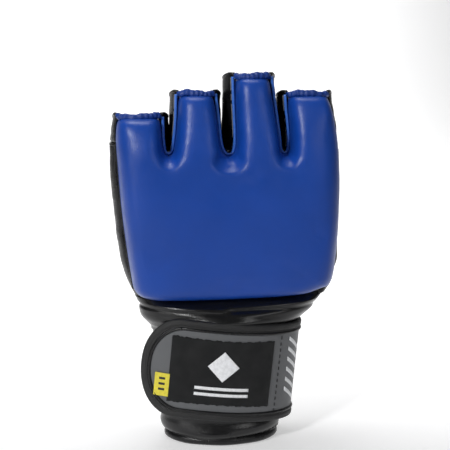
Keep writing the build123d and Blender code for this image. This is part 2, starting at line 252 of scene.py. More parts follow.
def slab(outer, inner, ring=False):
    """A closed solid between two grids of points; ring joins the first row to the last."""
    rows, columns = outer.shape[:2]
    points = np.vstack([outer.reshape(-1, 3), inner.reshape(-1, 3)])
    span = rows if ring else rows - 1

    def at(layer, i, j):
        return layer * rows * columns + (i % rows) * columns + j

    faces = []
    for i in range(span):
        for j in range(columns - 1):
            faces.append((at(0, i, j), at(0, i, j + 1), at(0, i + 1, j + 1), at(0, i + 1, j)))
            faces.append((at(1, i, j), at(1, i + 1, j), at(1, i + 1, j + 1), at(1, i, j + 1)))
        for j, turn in ((0, 1), (columns - 1, -1)):
            edge = (at(0, i, j), at(0, i + 1, j), at(1, i + 1, j), at(1, i, j))
            faces.append(edge[::turn])
    if not ring:
        for j in range(columns - 1):
            for i, turn in ((0, -1), (rows - 1, 1)):
                edge = (at(0, i, j), at(0, i, j + 1), at(1, i, j + 1), at(1, i, j))
                faces.append(edge[::turn])
    return points, faces


def tube(path, radius, sides=10, closed=False, flat=1.0, up=(0, -1, 0), swell=None):
    """A rounded cord along a path; flat squeezes it along the direction nearest to up."""
    path = np.asarray(path, float)
    count = len(path)
    if closed:
        along = np.roll(path, -1, axis=0) - np.roll(path, 1, axis=0)
    else:
        along = np.gradient(path, axis=0)
    along = unit(along)
    up = np.broadcast_to(np.asarray(up, float), path.shape)
    normal = unit(up - (up * along).sum(axis=1)[:, None] * along)
    side = np.cross(along, normal)
    size = np.broadcast_to(np.asarray(radius, float), (count,))
    turn = np.linspace(0, 2 * pi, sides, endpoint=False)
    width = size[:, None] * np.ones(sides)
    if swell is not None:
        width = width * (1 + swell(np.arange(count)[:, None] / count, turn[None]))
    rings = (path[:, None] + side[:, None] * (width * np.cos(turn))[..., None]
             + normal[:, None] * (width * np.sin(turn) * flat)[..., None])
    points = rings.reshape(-1, 3)
    faces = []
    for i in range(count if closed else count - 1):
        for k in range(sides):
            a, b = i * sides, ((i + 1) % count) * sides
            m = (k + 1) % sides
            faces.append((a + k, a + m, b + m, b + k))
    if not closed:
        faces.append(tuple(range(sides))[::-1])
        faces.append(tuple((count - 1) * sides + k for k in range(sides)))
    return points, faces


def dashes(path, length, gap, radius, up):
    """Separate stitches along a path, sunk a little at their ends."""
    path = np.asarray(path, float)
    total = np.linalg.norm(np.diff(path, axis=0), axis=1).sum()
    count = max(1, int(total / (length + gap)))
    fine = spaced(path, count * 8 + 1)
    direction = np.asarray(up, float)
    shapes = []
    for n in range(count):
        run = fine[n * 8:n * 8 + 7]
        keep = run[:max(4, round(7 * length / (length + gap)))]
        share = np.linspace(0, 1, len(keep))
        dip = (1 - (2 * share - 1) ** 4)[:, None] * direction * radius * 0.8
        shapes.append(tube(keep + dip, radius, sides=6, up=direction))
    return joined(shapes)


def mesh_object(name, points, faces):
    mesh = bpy.data.meshes.new(name)
    mesh.from_pydata((np.asarray(points) * MM).tolist(), [], [tuple(map(int, f)) for f in faces])
    mesh.update()
    mesh.shade_smooth()
    made = bpy.data.objects.new(name, mesh)
    bpy.context.scene.collection.objects.link(made)
    return made


def outward(obj):
    """Makes every closed part's faces look outwards."""
    work = bmesh.new()
    work.from_mesh(obj.data)
    bmesh.ops.recalc_face_normals(work, faces=work.faces)
    work.to_mesh(obj.data)
    work.free()


def piece(name, shape, look, body, stands_for=(), bevel=0.0, subdivide=0, normals=None):
    """A finished piece: body is a CAD body's name, or a (body, body, start, end) tuple, with which the piece
    is only baked in place.
    """
    points, faces = shape
    made = mesh_object(name, points, faces)
    if normals is None:
        outward(made)
    else:
        made.data.normals_split_custom_set_from_vertices(normals.tolist())
    made.data.materials.append(MATERIALS[look])
    if isinstance(body, str):
        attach(made, body)
    else:
        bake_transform(made)
    if bevel:
        rounding = made.modifiers.new("rounding", "BEVEL")
        rounding.width = bevel * MM
        rounding.segments = 2
        rounding.limit_method = "ANGLE"
        rounding.angle_limit = radians(50)
    if subdivide:
        finer = made.modifiers.new("finer", "SUBSURF")
        finer.levels = finer.render_levels = subdivide
    if stands_for:
        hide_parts(*stands_for)
    return made


# ---------------------------------------------------------------- materials

MATERIALS = {}


class Nodes:
    """A material's node tree, with short ways to add what each look here needs."""

    def __init__(self, name):
        self.material = bpy.data.materials.new(name)
        self.material.use_nodes = True
        self.tree = self.material.node_tree
        self.shader = self.tree.nodes["Principled BSDF"]
        self.where = self.add("ShaderNodeTexCoord").outputs["Object"]

    def add(self, kind, **settings):
        node = self.tree.nodes.new(kind)
        for key, value in settings.items():
            setattr(node, key, value)
        return node

    def link(self, source, target):
        self.tree.links.new(source, target)

    def stretched(self, scale):
        node = self.add("ShaderNodeMapping")
        node.inputs["Scale"].default_value = scale
        self.link(self.where, node.inputs["Vector"])
        return node.outputs["Vector"]

    def noise(self, size, detail=4.0, stretch=(1, 1, 1), roughness=0.5):
        """Cloudy noise whose blotches are about size millimetres across."""
        node = self.add("ShaderNodeTexNoise")
        node.inputs["Scale"].default_value = 1 / (size * MM)
        node.inputs["Detail"].default_value = detail
        node.inputs["Roughness"].default_value = roughness
        self.link(self.stretched(stretch), node.inputs["Vector"])
        return node.outputs["Fac"]

    def cells(self, size):
        """The creases between small cells: the grain of leather."""
        node = self.add("ShaderNodeTexVoronoi", feature="DISTANCE_TO_EDGE")
        node.inputs["Scale"].default_value = 1 / (size * MM)
        self.link(self.where, node.inputs["Vector"])
        return self.ramp(node.outputs["Distance"], (0.0, 0.0), (0.22, 1.0))

    def ramp(self, source, start, end):
        node = self.add("ShaderNodeMapRange")
        values = {"From Min": start[0], "From Max": end[0], "To Min": start[1], "To Max": end[1]}
        for key, value in values.items():
            node.inputs[key].default_value = value
        self.link(source, node.inputs["Value"])
        return node.outputs["Result"]

    def math(self, operation, a, b=None):
        node = self.add("ShaderNodeMath", operation=operation)
        for socket, value in zip(node.inputs, (a, b)):
            if value is None:
                continue
            if isinstance(value, (int, float)):
                socket.default_value = value
            else:
                self.link(value, socket)
        return node.outputs["Value"]

    def weave(self, pitch):
        """Threads over and under, round the glove and up it."""
        axes = self.add("ShaderNodeSeparateXYZ")
        self.link(self.where, axes.inputs["Vector"])
        backwards = self.math("MULTIPLY", axes.outputs["Y"], -1.0)
        angle = self.math("ARCTAN2", axes.outputs["X"], backwards)
        round_it = self.math("SINE", self.math("MULTIPLY", angle, 2 * pi * 40 / pitch))
        up_it = self.math("SINE", self.math("MULTIPLY", axes.outputs["Z"], 2 * pi / (pitch * MM)))
        return self.math("MULTIPLY", round_it, up_it)

    def colour(self, dark, light, mask):
        node = self.add("ShaderNodeMix", data_type="RGBA")
        node.inputs["A"].default_value = (*dark, 1)
        node.inputs["B"].default_value = (*light, 1)
        self.link(mask, node.inputs["Factor"])
        self.link(node.outputs["Result"], self.shader.inputs["Base Color"])
        return node

    def rough(self, source, low_value, high_value):
        self.link(self.ramp(source, (0.3, low_value), (0.7, high_value)), self.shader.inputs["Roughness"])

    def bumps(self, *layers):
        """Height layers in millimetres, one over another."""
        under = None
        for height, depth in layers:
            node = self.add("ShaderNodeBump")
            node.inputs["Strength"].default_value = 1.0
            node.inputs["Distance"].default_value = depth * MM
            self.link(height, node.inputs["Height"])
            if under is not None:
                self.link(under, node.inputs["Normal"])
            under = node.outputs["Normal"]
        self.link(under, self.shader.inputs["Normal"])


def tint(colour, factor):
    return tuple(min(1.0, c * factor) for c in colour)


def leather(name, colour, roughness, grain=0.9, depth=0.035, crease=0.05, coat=0.0, gloss=0.4, contrast=0.18,
            stretch=(1, 1, 1)):
    """Coated synthetic leather: fine pebbled grain, soft creases, uneven gloss and faint rubbing."""
    n = Nodes(name)
    cloud = n.noise(26, detail=3)
    fine = n.noise(0.5, detail=3)
    creases = n.noise(7, detail=6, stretch=stretch, roughness=0.6)
    n.colour(tint(colour, 1 - contrast), tint(colour, 1 + contrast), cloud)
    n.rough(creases, roughness[0], roughness[1])
    n.bumps((creases, crease), (n.cells(grain), depth), (fine, depth * 0.5))
    n.shader.inputs["Specular IOR Level"].default_value = gloss
    n.shader.inputs["Coat Weight"].default_value = coat
    n.shader.inputs["Coat Roughness"].default_value = 0.25
    MATERIALS[name] = n.material


def fabric(name, colour, pitch, depth, roughness=0.85, fuzz=0.2, contrast=0.25):
    """Woven or knitted cloth: threads, a little fuzz and uneven dye."""
    n = Nodes(name)
    threads = n.weave(pitch)
    mask = n.ramp(threads, (-1.0, 0.0), (1.0, 1.0))
    uneven = n.noise(9, detail=5)
    n.colour(tint(colour, 1 - contrast), tint(colour, 1 + contrast),
             n.math("MULTIPLY", n.math("ADD", mask, uneven), 0.5))
    n.rough(uneven, roughness - 0.08, min(1.0, roughness + 0.08))
    n.bumps((n.noise(0.7, detail=4), depth * 0.8), (threads, depth))
    n.shader.inputs["Sheen Weight"].default_value = fuzz
    n.shader.inputs["Sheen Roughness"].default_value = 0.5
    MATERIALS[name] = n.material


def foam(name, colour):
    """Open-cell foam."""
    n = Nodes(name)
    n.colour(tint(colour, 0.75), tint(colour, 1.1), n.noise(2.0, detail=5))
    n.rough(n.noise(4), 0.85, 0.95)
    n.bumps((n.cells(0.8), 0.15))
    MATERIALS[name] = n.material


def pile(name, colour, size):
    """Loop pile or hooks: small tufts."""
    n = Nodes(name)
    tufts = n.noise(size, detail=5, roughness=0.7)
    n.colour(tint(colour, 0.5), tint(colour, 1.5), tufts)
    n.rough(n.noise(5), 0.85, 1.0)
    n.bumps((tufts, 0.35))
    n.shader.inputs["Sheen Weight"].default_value = 0.4
    MATERIALS[name] = n.material


def printed(name, colour, roughness):
    """Screen-printed ink or a coated label: slightly worn, with faint threads under it."""
    n = Nodes(name)
    wear = n.noise(1.6, detail=6, roughness=0.65)
    n.colour(tint(colour, 0.86), tint(colour, 1.03), n.ramp(wear, (0.35, 0.0), (0.6, 1.0)))
    n.rough(wear, roughness, roughness + 0.2)
    n.bumps((wear, 0.02), (n.weave(0.7), 0.012))
    MATERIALS[name] = n.material


def make_materials():
    leather("blue_leather", (0.005, 0.05, 0.31), (0.3, 0.42), grain=0.85, depth=0.02, crease=0.06, gloss=0.36)
    leather("blue_hem", (0.0045, 0.036, 0.225), (0.3, 0.45), grain=0.7, depth=0.03, crease=0.12)
    # The piping's blue is lightened well past the pad's blue: a painted highlight along the bead.
    leather("blue_piping", (0.045, 0.17, 0.62), (0.24, 0.34), grain=0.6, depth=0.012, crease=0.03, coat=0.3)
    leather("black_leather", (0.0045, 0.0045, 0.005), (0.22, 0.4), grain=0.9, depth=0.03, crease=0.16,
            gloss=0.4, stretch=(1, 1, 2.2))
    leather("shiny_leather", (0.0045, 0.0045, 0.005), (0.17, 0.28), grain=0.9, depth=0.02, crease=0.08,
            gloss=0.5)
    leather("grey_leather", (0.108, 0.112, 0.118), (0.4, 0.56), grain=0.8, depth=0.02, crease=0.04,
            contrast=0.1)
    fabric("black_binding", (0.007, 0.007, 0.0075), 0.9, 0.07, roughness=0.55, fuzz=0.03)
    fabric("elastic", (0.018, 0.018, 0.02), 1.3, 0.18, roughness=0.8)
    fabric("lining", (0.035, 0.036, 0.04), 0.8, 0.06, roughness=0.9, fuzz=0.3)
    fabric("backing_fabric", (0.05, 0.051, 0.054), 0.8, 0.06)
    fabric("patch_fabric", (0.0045, 0.005, 0.0056), 0.55, 0.03, roughness=0.9, fuzz=0.0, contrast=0.12)
    foam("foam", (0.12, 0.12, 0.13))
    pile("loop_pile", (0.02, 0.02, 0.022), 0.6)
    pile("hook", (0.03, 0.03, 0.032), 0.4)
    printed("white_print", (0.82, 0.83, 0.85), 0.45)
    # Pale grey for the strips beside the slots: partly the turned edge's own colour, partly a painted
    # highlight along the seam.
    printed("pale_edge_and_painted_highlight", (0.22, 0.21, 0.2), 0.5)
    printed("yellow_tag", (0.72, 0.62, 0.05), 0.5)
    printed("thread", (0.02, 0.02, 0.021), 0.5)


# ---------------------------------------------------------------- the padded back

# A span across the wrist, from just above the cuff to 16 mm above the pad's foot, given to the pieces that
# cross it.
WRIST_LOW, WRIST_HIGH = 70.5, PAD_FOOT + 16
HAND_BEND = ("cuff", "hand", (0, 0, WRIST_LOW), (0, 0, WRIST_HIGH))
LOBE_TOP = {name: foot + 1.0 for name, foot in HEM_FOOT.items()}
# Outlines of the padded back, as (x, z), each through a few points.
LEFT_EDGE = [(-49.4, 85.8), (-50.8, 91.0), (-51.9, 99), (-54.3, 115.5), (-57.0, 139.5), (-58.6, 162),
             (-59.6, 176), (-59.6, 183), (-58.9, LOBE_TOP["pinky"])]
RIGHT_EDGE = [(59.4, LOBE_TOP["index"]), (61.9, 191.5), (64.0, 182), (65.4, 172), (66.1, 160), (66.5, 148),
              (66.1, 127), (65.3, 114), (64.3, 103), (62.8, 95), (60.4, 90.4), (56.4, 88.0)]
FOOT_EDGE = [(56.4, 88.0), (42, 87.0), (20, 85.8), (-3, 85.0), (-28, 84.9), (-40, 85.2), (-49.4, 85.8)]
SLOT_EDGES = {
    "pinky_ring": [(-34.0, LOBE_TOP["pinky"]), (-33.8, 181), (-33.6, 176), (-33.2, 171.8), (-32.3, 168.7),
                   (-30.1, 167.3), (-27.9, 168.7), (-27.0, 171.8), (-26.4, 176.5), (-25.8, 182),
                   (-25.3, 190), (-25.0, LOBE_TOP["ring"])],
    "ring_middle": [(-4.5, LOBE_TOP["ring"]), (-3.5, 193), (-2.6, 185.6), (-1.7, 176.5), (-0.6, 171.2),
                    (1.2, 167.9), (3.7, 166.8), (6.2, 167.9), (7.4, 171.2), (7.8, 176.5), (7.5, 186),
                    (6.9, 199), (6.5, LOBE_TOP["middle"])],
    "middle_index": [(26.8, LOBE_TOP["middle"]), (28.0, 201), (29.3, 192), (30.6, 183.5), (31.6, 176.5),
                     (32.1, 171.5), (32.9, 168.6), (35.0, 167.3), (37.1, 168.6), (37.8, 171.5), (37.9, 178),
                     (37.2, 187), (36.5, 192.5), (35.9, LOBE_TOP["index"])],
}
SLOT_FEET = {name: min(line, key=lambda p: p[1]) for name, line in SLOT_EDGES.items()}
TOP_EDGES = {
    "pinky": [LEFT_EDGE[-1], SLOT_EDGES["pinky_ring"][0]],
    "ring": [SLOT_EDGES["pinky_ring"][-1], SLOT_EDGES["ring_middle"][0]],
    "middle": [SLOT_EDGES["ring_middle"][-1], SLOT_EDGES["middle_index"][0]],
    "index": [SLOT_EDGES["middle_index"][-1], RIGHT_EDGE[0]],
}
LEFT_LINE, RIGHT_LINE = smooth_path(LEFT_EDGE, 18), smooth_path(RIGHT_EDGE, 22)
FOOT_LINE = smooth_path(FOOT_EDGE, 14)
SLOT_LINES = [smooth_path(line, 34) for line in SLOT_EDGES.values()]
# How far in from each edge the pad goes on filling out.
LEFT_SOFT, RIGHT_SOFT, TOP_SOFT, SLOT_SOFT = 4.6, 5.2, 1.0, 2.3
PAD_EDGES = [
    (LEFT_LINE, LEFT_SOFT),
    *((line, SLOT_SOFT) for line in SLOT_LINES),
    *((np.array(line), TOP_SOFT) for line in TOP_EDGES.values()),
    (RIGHT_LINE, RIGHT_SOFT),
    (FOOT_LINE, SLOT_SOFT),
]
PAD_LOOP = np.vstack([LEFT_LINE, *SLOT_LINES, RIGHT_LINE, FOOT_LINE])
LOBE_CUT = 170.4
# Dents below the slots: x, z, half width, half height, share of the thickness lost.
DENTS = [(2.6, 165.4, 8.0, 5.4, 0.3), (-30.2, 166, 4.4, 3.6, 0.12), (35, 166, 4.4, 3.6, 0.12)]
pad_depth = curve((82, 18.5), (95, 20.5), (125, 22.5), (155, 22.5), (175, 21.0), (190, 17.5), (212, 14.5))


def pad_share(x, z):
    """How full the pad is: 1 in its middle, falling to 0 along its edges."""
    loss = np.zeros(np.shape(x))
    nearest = np.full(np.shape(x), 1e9)
    squarer = 1 - 0.58 * np.clip((z - WEB_Z - 3) / 14, 0, 1)
    for line, soft in PAD_EDGES:
        distance = line_distance(x, z, line)
        nearest = np.minimum(nearest, distance)
        if soft == TOP_SOFT:
            loss = loss + 0.42 * np.exp(-distance / 6.0) + 0.58 * np.exp(-distance / 0.9)
        else:
            loss = loss + np.exp(-distance / (soft * (1 if soft == SLOT_SOFT else squarer)))
    full = 1 - loss
    for x0, z0, half_width, half_height, share in DENTS:
        spot = ((x - x0) / half_width) ** 2 + ((z - z0) / half_height) ** 2
        full = np.where(full > 0, full * (1 - share * np.exp(-(spot**2.2))), full)
    return np.where(within(x, z, PAD_LOOP), full, -nearest / 5)


def pad_field(x, y, z):
    """The padded back, lobes included: a flat-backed, domed pad."""
    depth = pad_depth(z)
    dome = (pad_share(x, z) * depth**2 - (np.minimum(y - SEAM_Y, 0)) ** 2) / (2 * depth)
    return soft_min(dome, SEAM_Y - y, 0.25)


def cloth_moves(points, faces, pinned, cap, pressure=4.0, shrink=0.0, bending=0.3, frames=20):
    """How far each point moves when a cloth simulation blows the mesh up, held where pinned is 1."""
    made = mesh_object("cloth", points, faces)
    outward(made)
    group = made.vertex_groups.new(name="pinned")
    for i, weight in enumerate(pinned):
        group.add([i], float(weight), "REPLACE")
    cloth = made.modifiers.new("cloth", "CLOTH")
    cloth.settings.quality = 6
    cloth.settings.mass = 0.3
    cloth.settings.tension_stiffness = cloth.settings.compression_stiffness = 12
    cloth.settings.bending_stiffness = bending
    cloth.settings.use_pressure = True
    cloth.settings.uniform_pressure_force = pressure
    cloth.settings.shrink_min = shrink
    cloth.settings.vertex_group_mass = "pinned"
    cloth.settings.effector_weights.gravity = 0
    scene = bpy.context.scene
    for number in range(1, frames + 1):
        scene.frame_set(number)
    after = made.evaluated_get(bpy.context.evaluated_depsgraph_get())
    place = np.empty(len(points) * 3, np.float32)
    after.data.vertices.foreach_get("co", place)
    moves = place.reshape(-1, 3).astype(float) / MM - points
    scene.frame_set(1)
    mesh = made.data
    bpy.data.objects.remove(made)
    bpy.data.meshes.remove(mesh)
    length = np.linalg.norm(moves, axis=1)[:, None]
    return moves * np.minimum(1, cap / np.maximum(length, 1e-9))


def carried(points, coarse, moves, near=6):
    """The moves of a coarse mesh's points, carried over to others by nearness."""
    tree = KDTree(len(coarse))
    for i, p in enumerate(coarse):
        tree.insert(Vector(p), i)
    tree.balance()
    result = np.zeros_like(points)
    for i, p in enumerate(points):
        found = tree.find_n(Vector(p), near)
        weights = np.array([1 / (d + 0.5) ** 2 for _, _, d in found])
        result[i] = weights @ moves[[k for _, k, _ in found]] / weights.sum()
    return result


def vertex_normals(points, faces):
    """Smooth normals of quads."""
    faces = np.asarray(faces)
    across = np.cross(points[faces[:, 2]] - points[faces[:, 0]], points[faces[:, 3]] - points[faces[:, 1]])
    normals = np.zeros_like(points)
    for k in range(4):
        np.add.at(normals, faces[:, k], across)
    return normals / (np.linalg.norm(normals, axis=1)[:, None] + 1e-12)


def cut_piece(points, faces, normals, cuts):
    """The part of a mesh on the inner side of each (point, outward direction) plane, capped."""
    work = bmesh.new()
    mesh = bpy.data.meshes.new("cut")
    mesh.from_pydata(points.tolist(), [], [tuple(map(int, f)) for f in faces])
    work.from_mesh(mesh)
    bpy.data.meshes.remove(mesh)
    layer = work.verts.layers.float_vector.new("smooth_normal")
    work.verts.ensure_lookup_table()
    for vertex, normal in zip(work.verts, normals):
        vertex[layer] = Vector(normal)
    for place, direction in cuts:
        everything = work.verts[:] + work.edges[:] + work.faces[:]
        cut = bmesh.ops.bisect_plane(work, geom=everything, dist=1e-5, plane_co=place, plane_no=direction,
                                     clear_outer=True)
        rim = [e for e in cut["geom_cut"] if isinstance(e, bmesh.types.BMEdge) and e.is_boundary]
        if rim:
            bmesh.ops.holes_fill(work, edges=rim)
    work.verts.index_update()
    made_points = np.array([v.co for v in work.verts])
    made_normals = np.array([v[layer].normalized() for v in work.verts])
    made_faces = [tuple(v.index for v in f.verts) for f in work.faces]
    work.free()
    return (made_points, made_faces), made_normals


def padded_back():
    """The padded back and its four lobes, puffed up by cloth simulation and cut apart at the webs."""
    corner_low, corner_high = (-62, SEAM_Y - 25, 81), (69, SEAM_Y + 1, 212)
    points, faces = surface_nets(pad_field, corner_low, corner_high, 1.25)
    points = settle(pad_field, points)
    coarse, coarse_faces = surface_nets(pad_field, corner_low, corner_high, 3.6)
    coarse = settle(pad_field, coarse, reach=1.5)
    share = np.clip(pad_share(coarse[:, 0], coarse[:, 2]), 0, 1)
    pinned = np.where(coarse[:, 1] > SEAM_Y - 3, 1.0, np.clip(1.3 - 1.8 * share, 0, 1))
    moves = cloth_moves(coarse, coarse_faces, pinned, cap=5.0)
    held = np.clip(pad_share(points[:, 0], points[:, 2]) / 0.45, 0, 1)[:, None]
    points = points + carried(points, coarse, moves) * held * (0.35, 1.0, 0.35)
    full = np.clip(pad_share(points[:, 0], points[:, 2]), 0, 1)
    front = np.clip((SEAM_Y - points[:, 1]) / 8, 0, 1) * full
    points[:, 1] += front * 0.45 * ripple(points, 30, 5)
    normals = vertex_normals(points, faces)
    up, down = ((0, 0, LOBE_CUT), (0, 0, 1)), ((0, 0, LOBE_CUT), (0, 0, -1))
    shape, smooth = cut_piece(points, faces, normals, [up])
    main = piece("padded_back", shape, "blue_leather", HAND_BEND,
                 ["back_cover", "firm_foam", "soft_foam"], normals=smooth)
    sides = [-90, *(foot[0] for foot in SLOT_FEET.values()), 90]
    for finger, left, right in zip(HEM_TOP, sides, sides[1:]):
        walls = [((left, 0, 0), (-1, 0, 0)), ((right, 0, 0), (1, 0, 0))]
        shape, smooth = cut_piece(points, faces, normals, [down, *walls])
        lobe = piece(finger + "_lobe", shape, "blue_leather", finger_bend(finger),
                     [finger + "_cover", finger + "_foam"], normals=smooth)


def finger_bend(finger):
    """The span across a finger's web, from the hand below it to the finger above it, given to a stall's
    pieces.
    """
    return ("hand", finger, (0, 0, WEB_Z - 1.4), (0, 0, WEB_Z + 15))


# ---------------------------------------------------------------- hems, piping and seam edges

HEM_FRONT = 8.0
PIPING = 0.85


def lobe_sides(finger, z):
    """The two side edges of a lobe at height z."""
    halves = {}
    for name, line in SLOT_EDGES.items():
        lowest = line.index(SLOT_FEET[name])
        halves[name] = (line[:lowest + 1], line[lowest:])
    sides = {
        "pinky": (LEFT_EDGE, halves["pinky_ring"][0]),
        "ring": (halves["pinky_ring"][1], halves["ring_middle"][0]),
        "middle": (halves["ring_middle"][1], halves["middle_index"][0]),
        "index": (halves["middle_index"][1], RIGHT_EDGE[:5]),
    }[finger]
    found = []
    for line in sides:
        line = np.array(sorted(line, key=lambda p: p[1]), float)
        found.append(np.interp(z, line[:, 1], line[:, 0]))
    return found


def hems():
    """A rolled, puckered hem along the top of each lobe."""
    for seed, finger in enumerate(HEM_TOP):
        foot, top = HEM_FOOT[finger], HEM_TOP[finger]
        left, right = lobe_sides(finger, foot)
        turn = np.linspace(0, pi, 90)
        x = (left + right) / 2 - np.cos(turn) * ((right - left) / 2 - 0.9)
        y = SEAM_Y - 0.8 - (HEM_FRONT - 1.2) * np.sin(turn) ** 0.6
        random = np.random.default_rng(seed + 20)
        share = np.linspace(0, 1, 90)
        rise = 0.5 * np.sin(2 * pi * (1.3 * share + random.random())) + 0.25 * np.sin(2 * pi * (4 * share))
        line = np.stack([x, y, (foot + top) / 2 - 0.1 + rise], axis=1)
        beats = share * 10 + 0.35 * np.sin(9 * share + seed)

        def pucker(along, round_it, beats=beats):
            fold = np.cos(2 * pi * beats)[:, None]
            fullness = 0.4 + 0.6 * np.abs(np.sin(round_it))
            return 0.16 * fold * fullness + 0.07 * np.cos(3 * round_it + 9 * along)

        radius = ((top - foot) / 2 + 0.3) * (0.62 + 0.38 * np.clip(np.sin(turn) * 2.2, 0, 1))
        shape = tube(line, radius, sides=16, flat=0.8, up=(0, -1, 0), swell=pucker)
        piece(finger + "_rolled_hem", shape, "blue_hem", finger_bend(finger), [finger + "_hem"])


def slot_line(name, offset=0.0, y=SEAM_Y, count=70):
    """The edge of a slot, moved sideways into the slot, as points in space."""
    line = smooth_path(SLOT_EDGES[name], count)
    line = line + left_of(line) * offset
    return np.stack([line[:, 0], np.full(count, y), line[:, 1]], axis=1)


def slot_piping():
    """The rolled bead round each slot, its blue lightened past the pad's as a painted highlight along it: its
    foot on the hand, its sides on the lobes.
    """
    beside = {"pinky_ring": ("pinky", "ring"), "ring_middle": ("ring", "middle"),
              "middle_index": ("middle", "index")}
    for name, (left, right) in beside.items():
        line = slot_line(name, 0.75, SEAM_Y - 3.0, count=140)
        lowest = int(np.argmin(line[:, 2]))
        halves = {left: line[:lowest + 1], right: line[lowest:]}
        foot = line[lowest - 3:lowest + 4]
        piece("piping_foot_" + name, tube(foot, PIPING * 1.02), "blue_piping", "hand", ["piping_" + name])
        for finger, half in halves.items():
            piece(f"piping_{name}_{finger}", tube(half, PIPING), "blue_piping", finger_bend(finger))


def seam_edges_and_painted_highlights():
    """Pale strips beside three of the lobes, broken here and there: partly the turned edges' own light
    colour, partly a painted highlight along the seam.
    """
    places = {"ring": "pinky_ring", "middle": "ring_middle", "index": "middle_index"}
    for seed, (finger, slot_name) in enumerate(places.items()):
        line = slot_line(slot_name, 1.5, SEAM_Y + 0.4, count=120)
        lowest = int(np.argmin(line[:, 2]))
        line = line[lowest + 7:]
        line = line[line[:, 2] < HEM_TOP[finger] - 1.0]
        random = np.random.default_rng(seed + 3)
        breaks = sorted(random.integers(10, len(line) - 10, 2))
        runs = np.split(line, breaks)
        shapes = [tube(run[1:-1], 0.32, sides=8, flat=0.6) for run in runs if len(run) > 6]
        made = piece(finger + "_seam_edge_and_highlight", joined(shapes), "pale_edge_and_painted_highlight", finger_bend(finger))


# ---------------------------------------------------------------- palm leather

little_side = curve((84, -49.6), (92, -53.6), (104, -57.4), (116, -59.0), (130, -60.6), (142, -61.6),
                    (165, -62.6), (176, -62.8))
thumb_side = curve((84, 58.4), (92, 63.6), (104, 66.2), (116, 66.8), (130, 67.6), (153, 68.0), (176, 67.0))
palm_side = curve((84, PALM_Y - 0.4), (100, PALM_Y - 0.3), (125, PALM_Y), (150, PALM_Y - 0.6),
                  (164, PALM_Y - 3.8), (174, PALM_Y - 8.0))
SHELL = 2.0
BACK_PLANE = -12.5
BACK_RADIUS, PALM_RADIUS = 11.0, 15.0
BOUND_WIDTH = 3.0
BOUND_PAST = 1.4
PANEL_X = high("palm_panel", 0)


def opening(node, axes):
    """The centre and half sizes of the opening inside a bound edge."""
    centre = [(low(node, k) + high(node, k)) / 2 for k in axes]
    half = [(high(node, k) - low(node, k)) / 2 - BOUND_WIDTH for k in axes]
    return centre, half


WINDOW, WINDOW_HALF = opening("palm_binding", (0, 2))
THUMB, THUMB_HALF = opening("thumb_binding", (1, 2))


def rounded(a, b, radius):
    """Distance outside two sides that meet in a rounded corner."""
    outside = np.hypot(np.maximum(a + radius, 0), np.maximum(b + radius, 0))
    return np.minimum(np.maximum(a, b), -radius) + outside


def hand_distance(x, y, z):
    """How far outside the hand's black leather a place is; negative inside."""
    taper = 7.5 * (np.maximum(y - 2, 0) / 23) ** 1.6
    side = np.maximum(little_side(z) + taper - x, x - thumb_side(z) + taper)
    to_palm, to_back = y - palm_side(z), BACK_PLANE - y
    return np.maximum(rounded(side, to_palm, PALM_RADIUS), rounded(side, to_back, BACK_RADIUS))


def wrinkled(x, y, z):
    """The leather's surface, with soft cross creases and fullness."""
    points = np.stack([x, y, z], axis=-1)
    broad = 0.6 * ripple(points, 26, 11, stretch=(2.2, 2.2, 0.8))
    narrow = 0.16 * ripple(points, 9, 12, stretch=(3, 3, 0.9))
    return hand_distance(x, y, z) + (broad + narrow)


def oval_cut(a, b, centre, half):
    """Distance outside an oval opening."""
    return (np.hypot((a - centre[0]) / half[0], (b - centre[1]) / half[1]) - 1) * min(half)


def palm_field(x, y, z):
    """The hand's leather shell, open at the back, the ends, the palm's window and the thumb hole."""
    outside = wrinkled(x, y, z)
    thickness = SHELL * (1 + 0.5 * np.clip((118 - z) / 20, 0, 1))
    wall = soft_min(-outside, outside + thickness, 0.15)
    seam = np.minimum(y - SEAM_Y - 0.15, np.minimum(z - (PAD_FOOT - 0.5), WEB_Z - 0.6 - z))
    window = np.where(y > 0, oval_cut(x, z, WINDOW, WINDOW_HALF), 99.0)
    thumb = np.where(x > 30, oval_cut(y, z, THUMB, THUMB_HALF), 99.0)
    return soft_min(wall, np.minimum(seam, np.minimum(window, thumb)), 0.15)


def on_hand(place, direction, sink=0.0):
    """Where a line from inside the hand, along direction, meets its surface."""
    place = np.array(place, float)
    direction = np.array(direction, float)
    near, far = np.zeros(len(place)), np.full(len(place), 90.0)
    for _ in range(30):
        half = (near + far) / 2
        spot = place + half[:, None] * direction
        out = wrinkled(*spot.T) + sink > 0
        far, near = np.where(out, half, far), np.where(out, near, half)
    return place + near[:, None] * direction


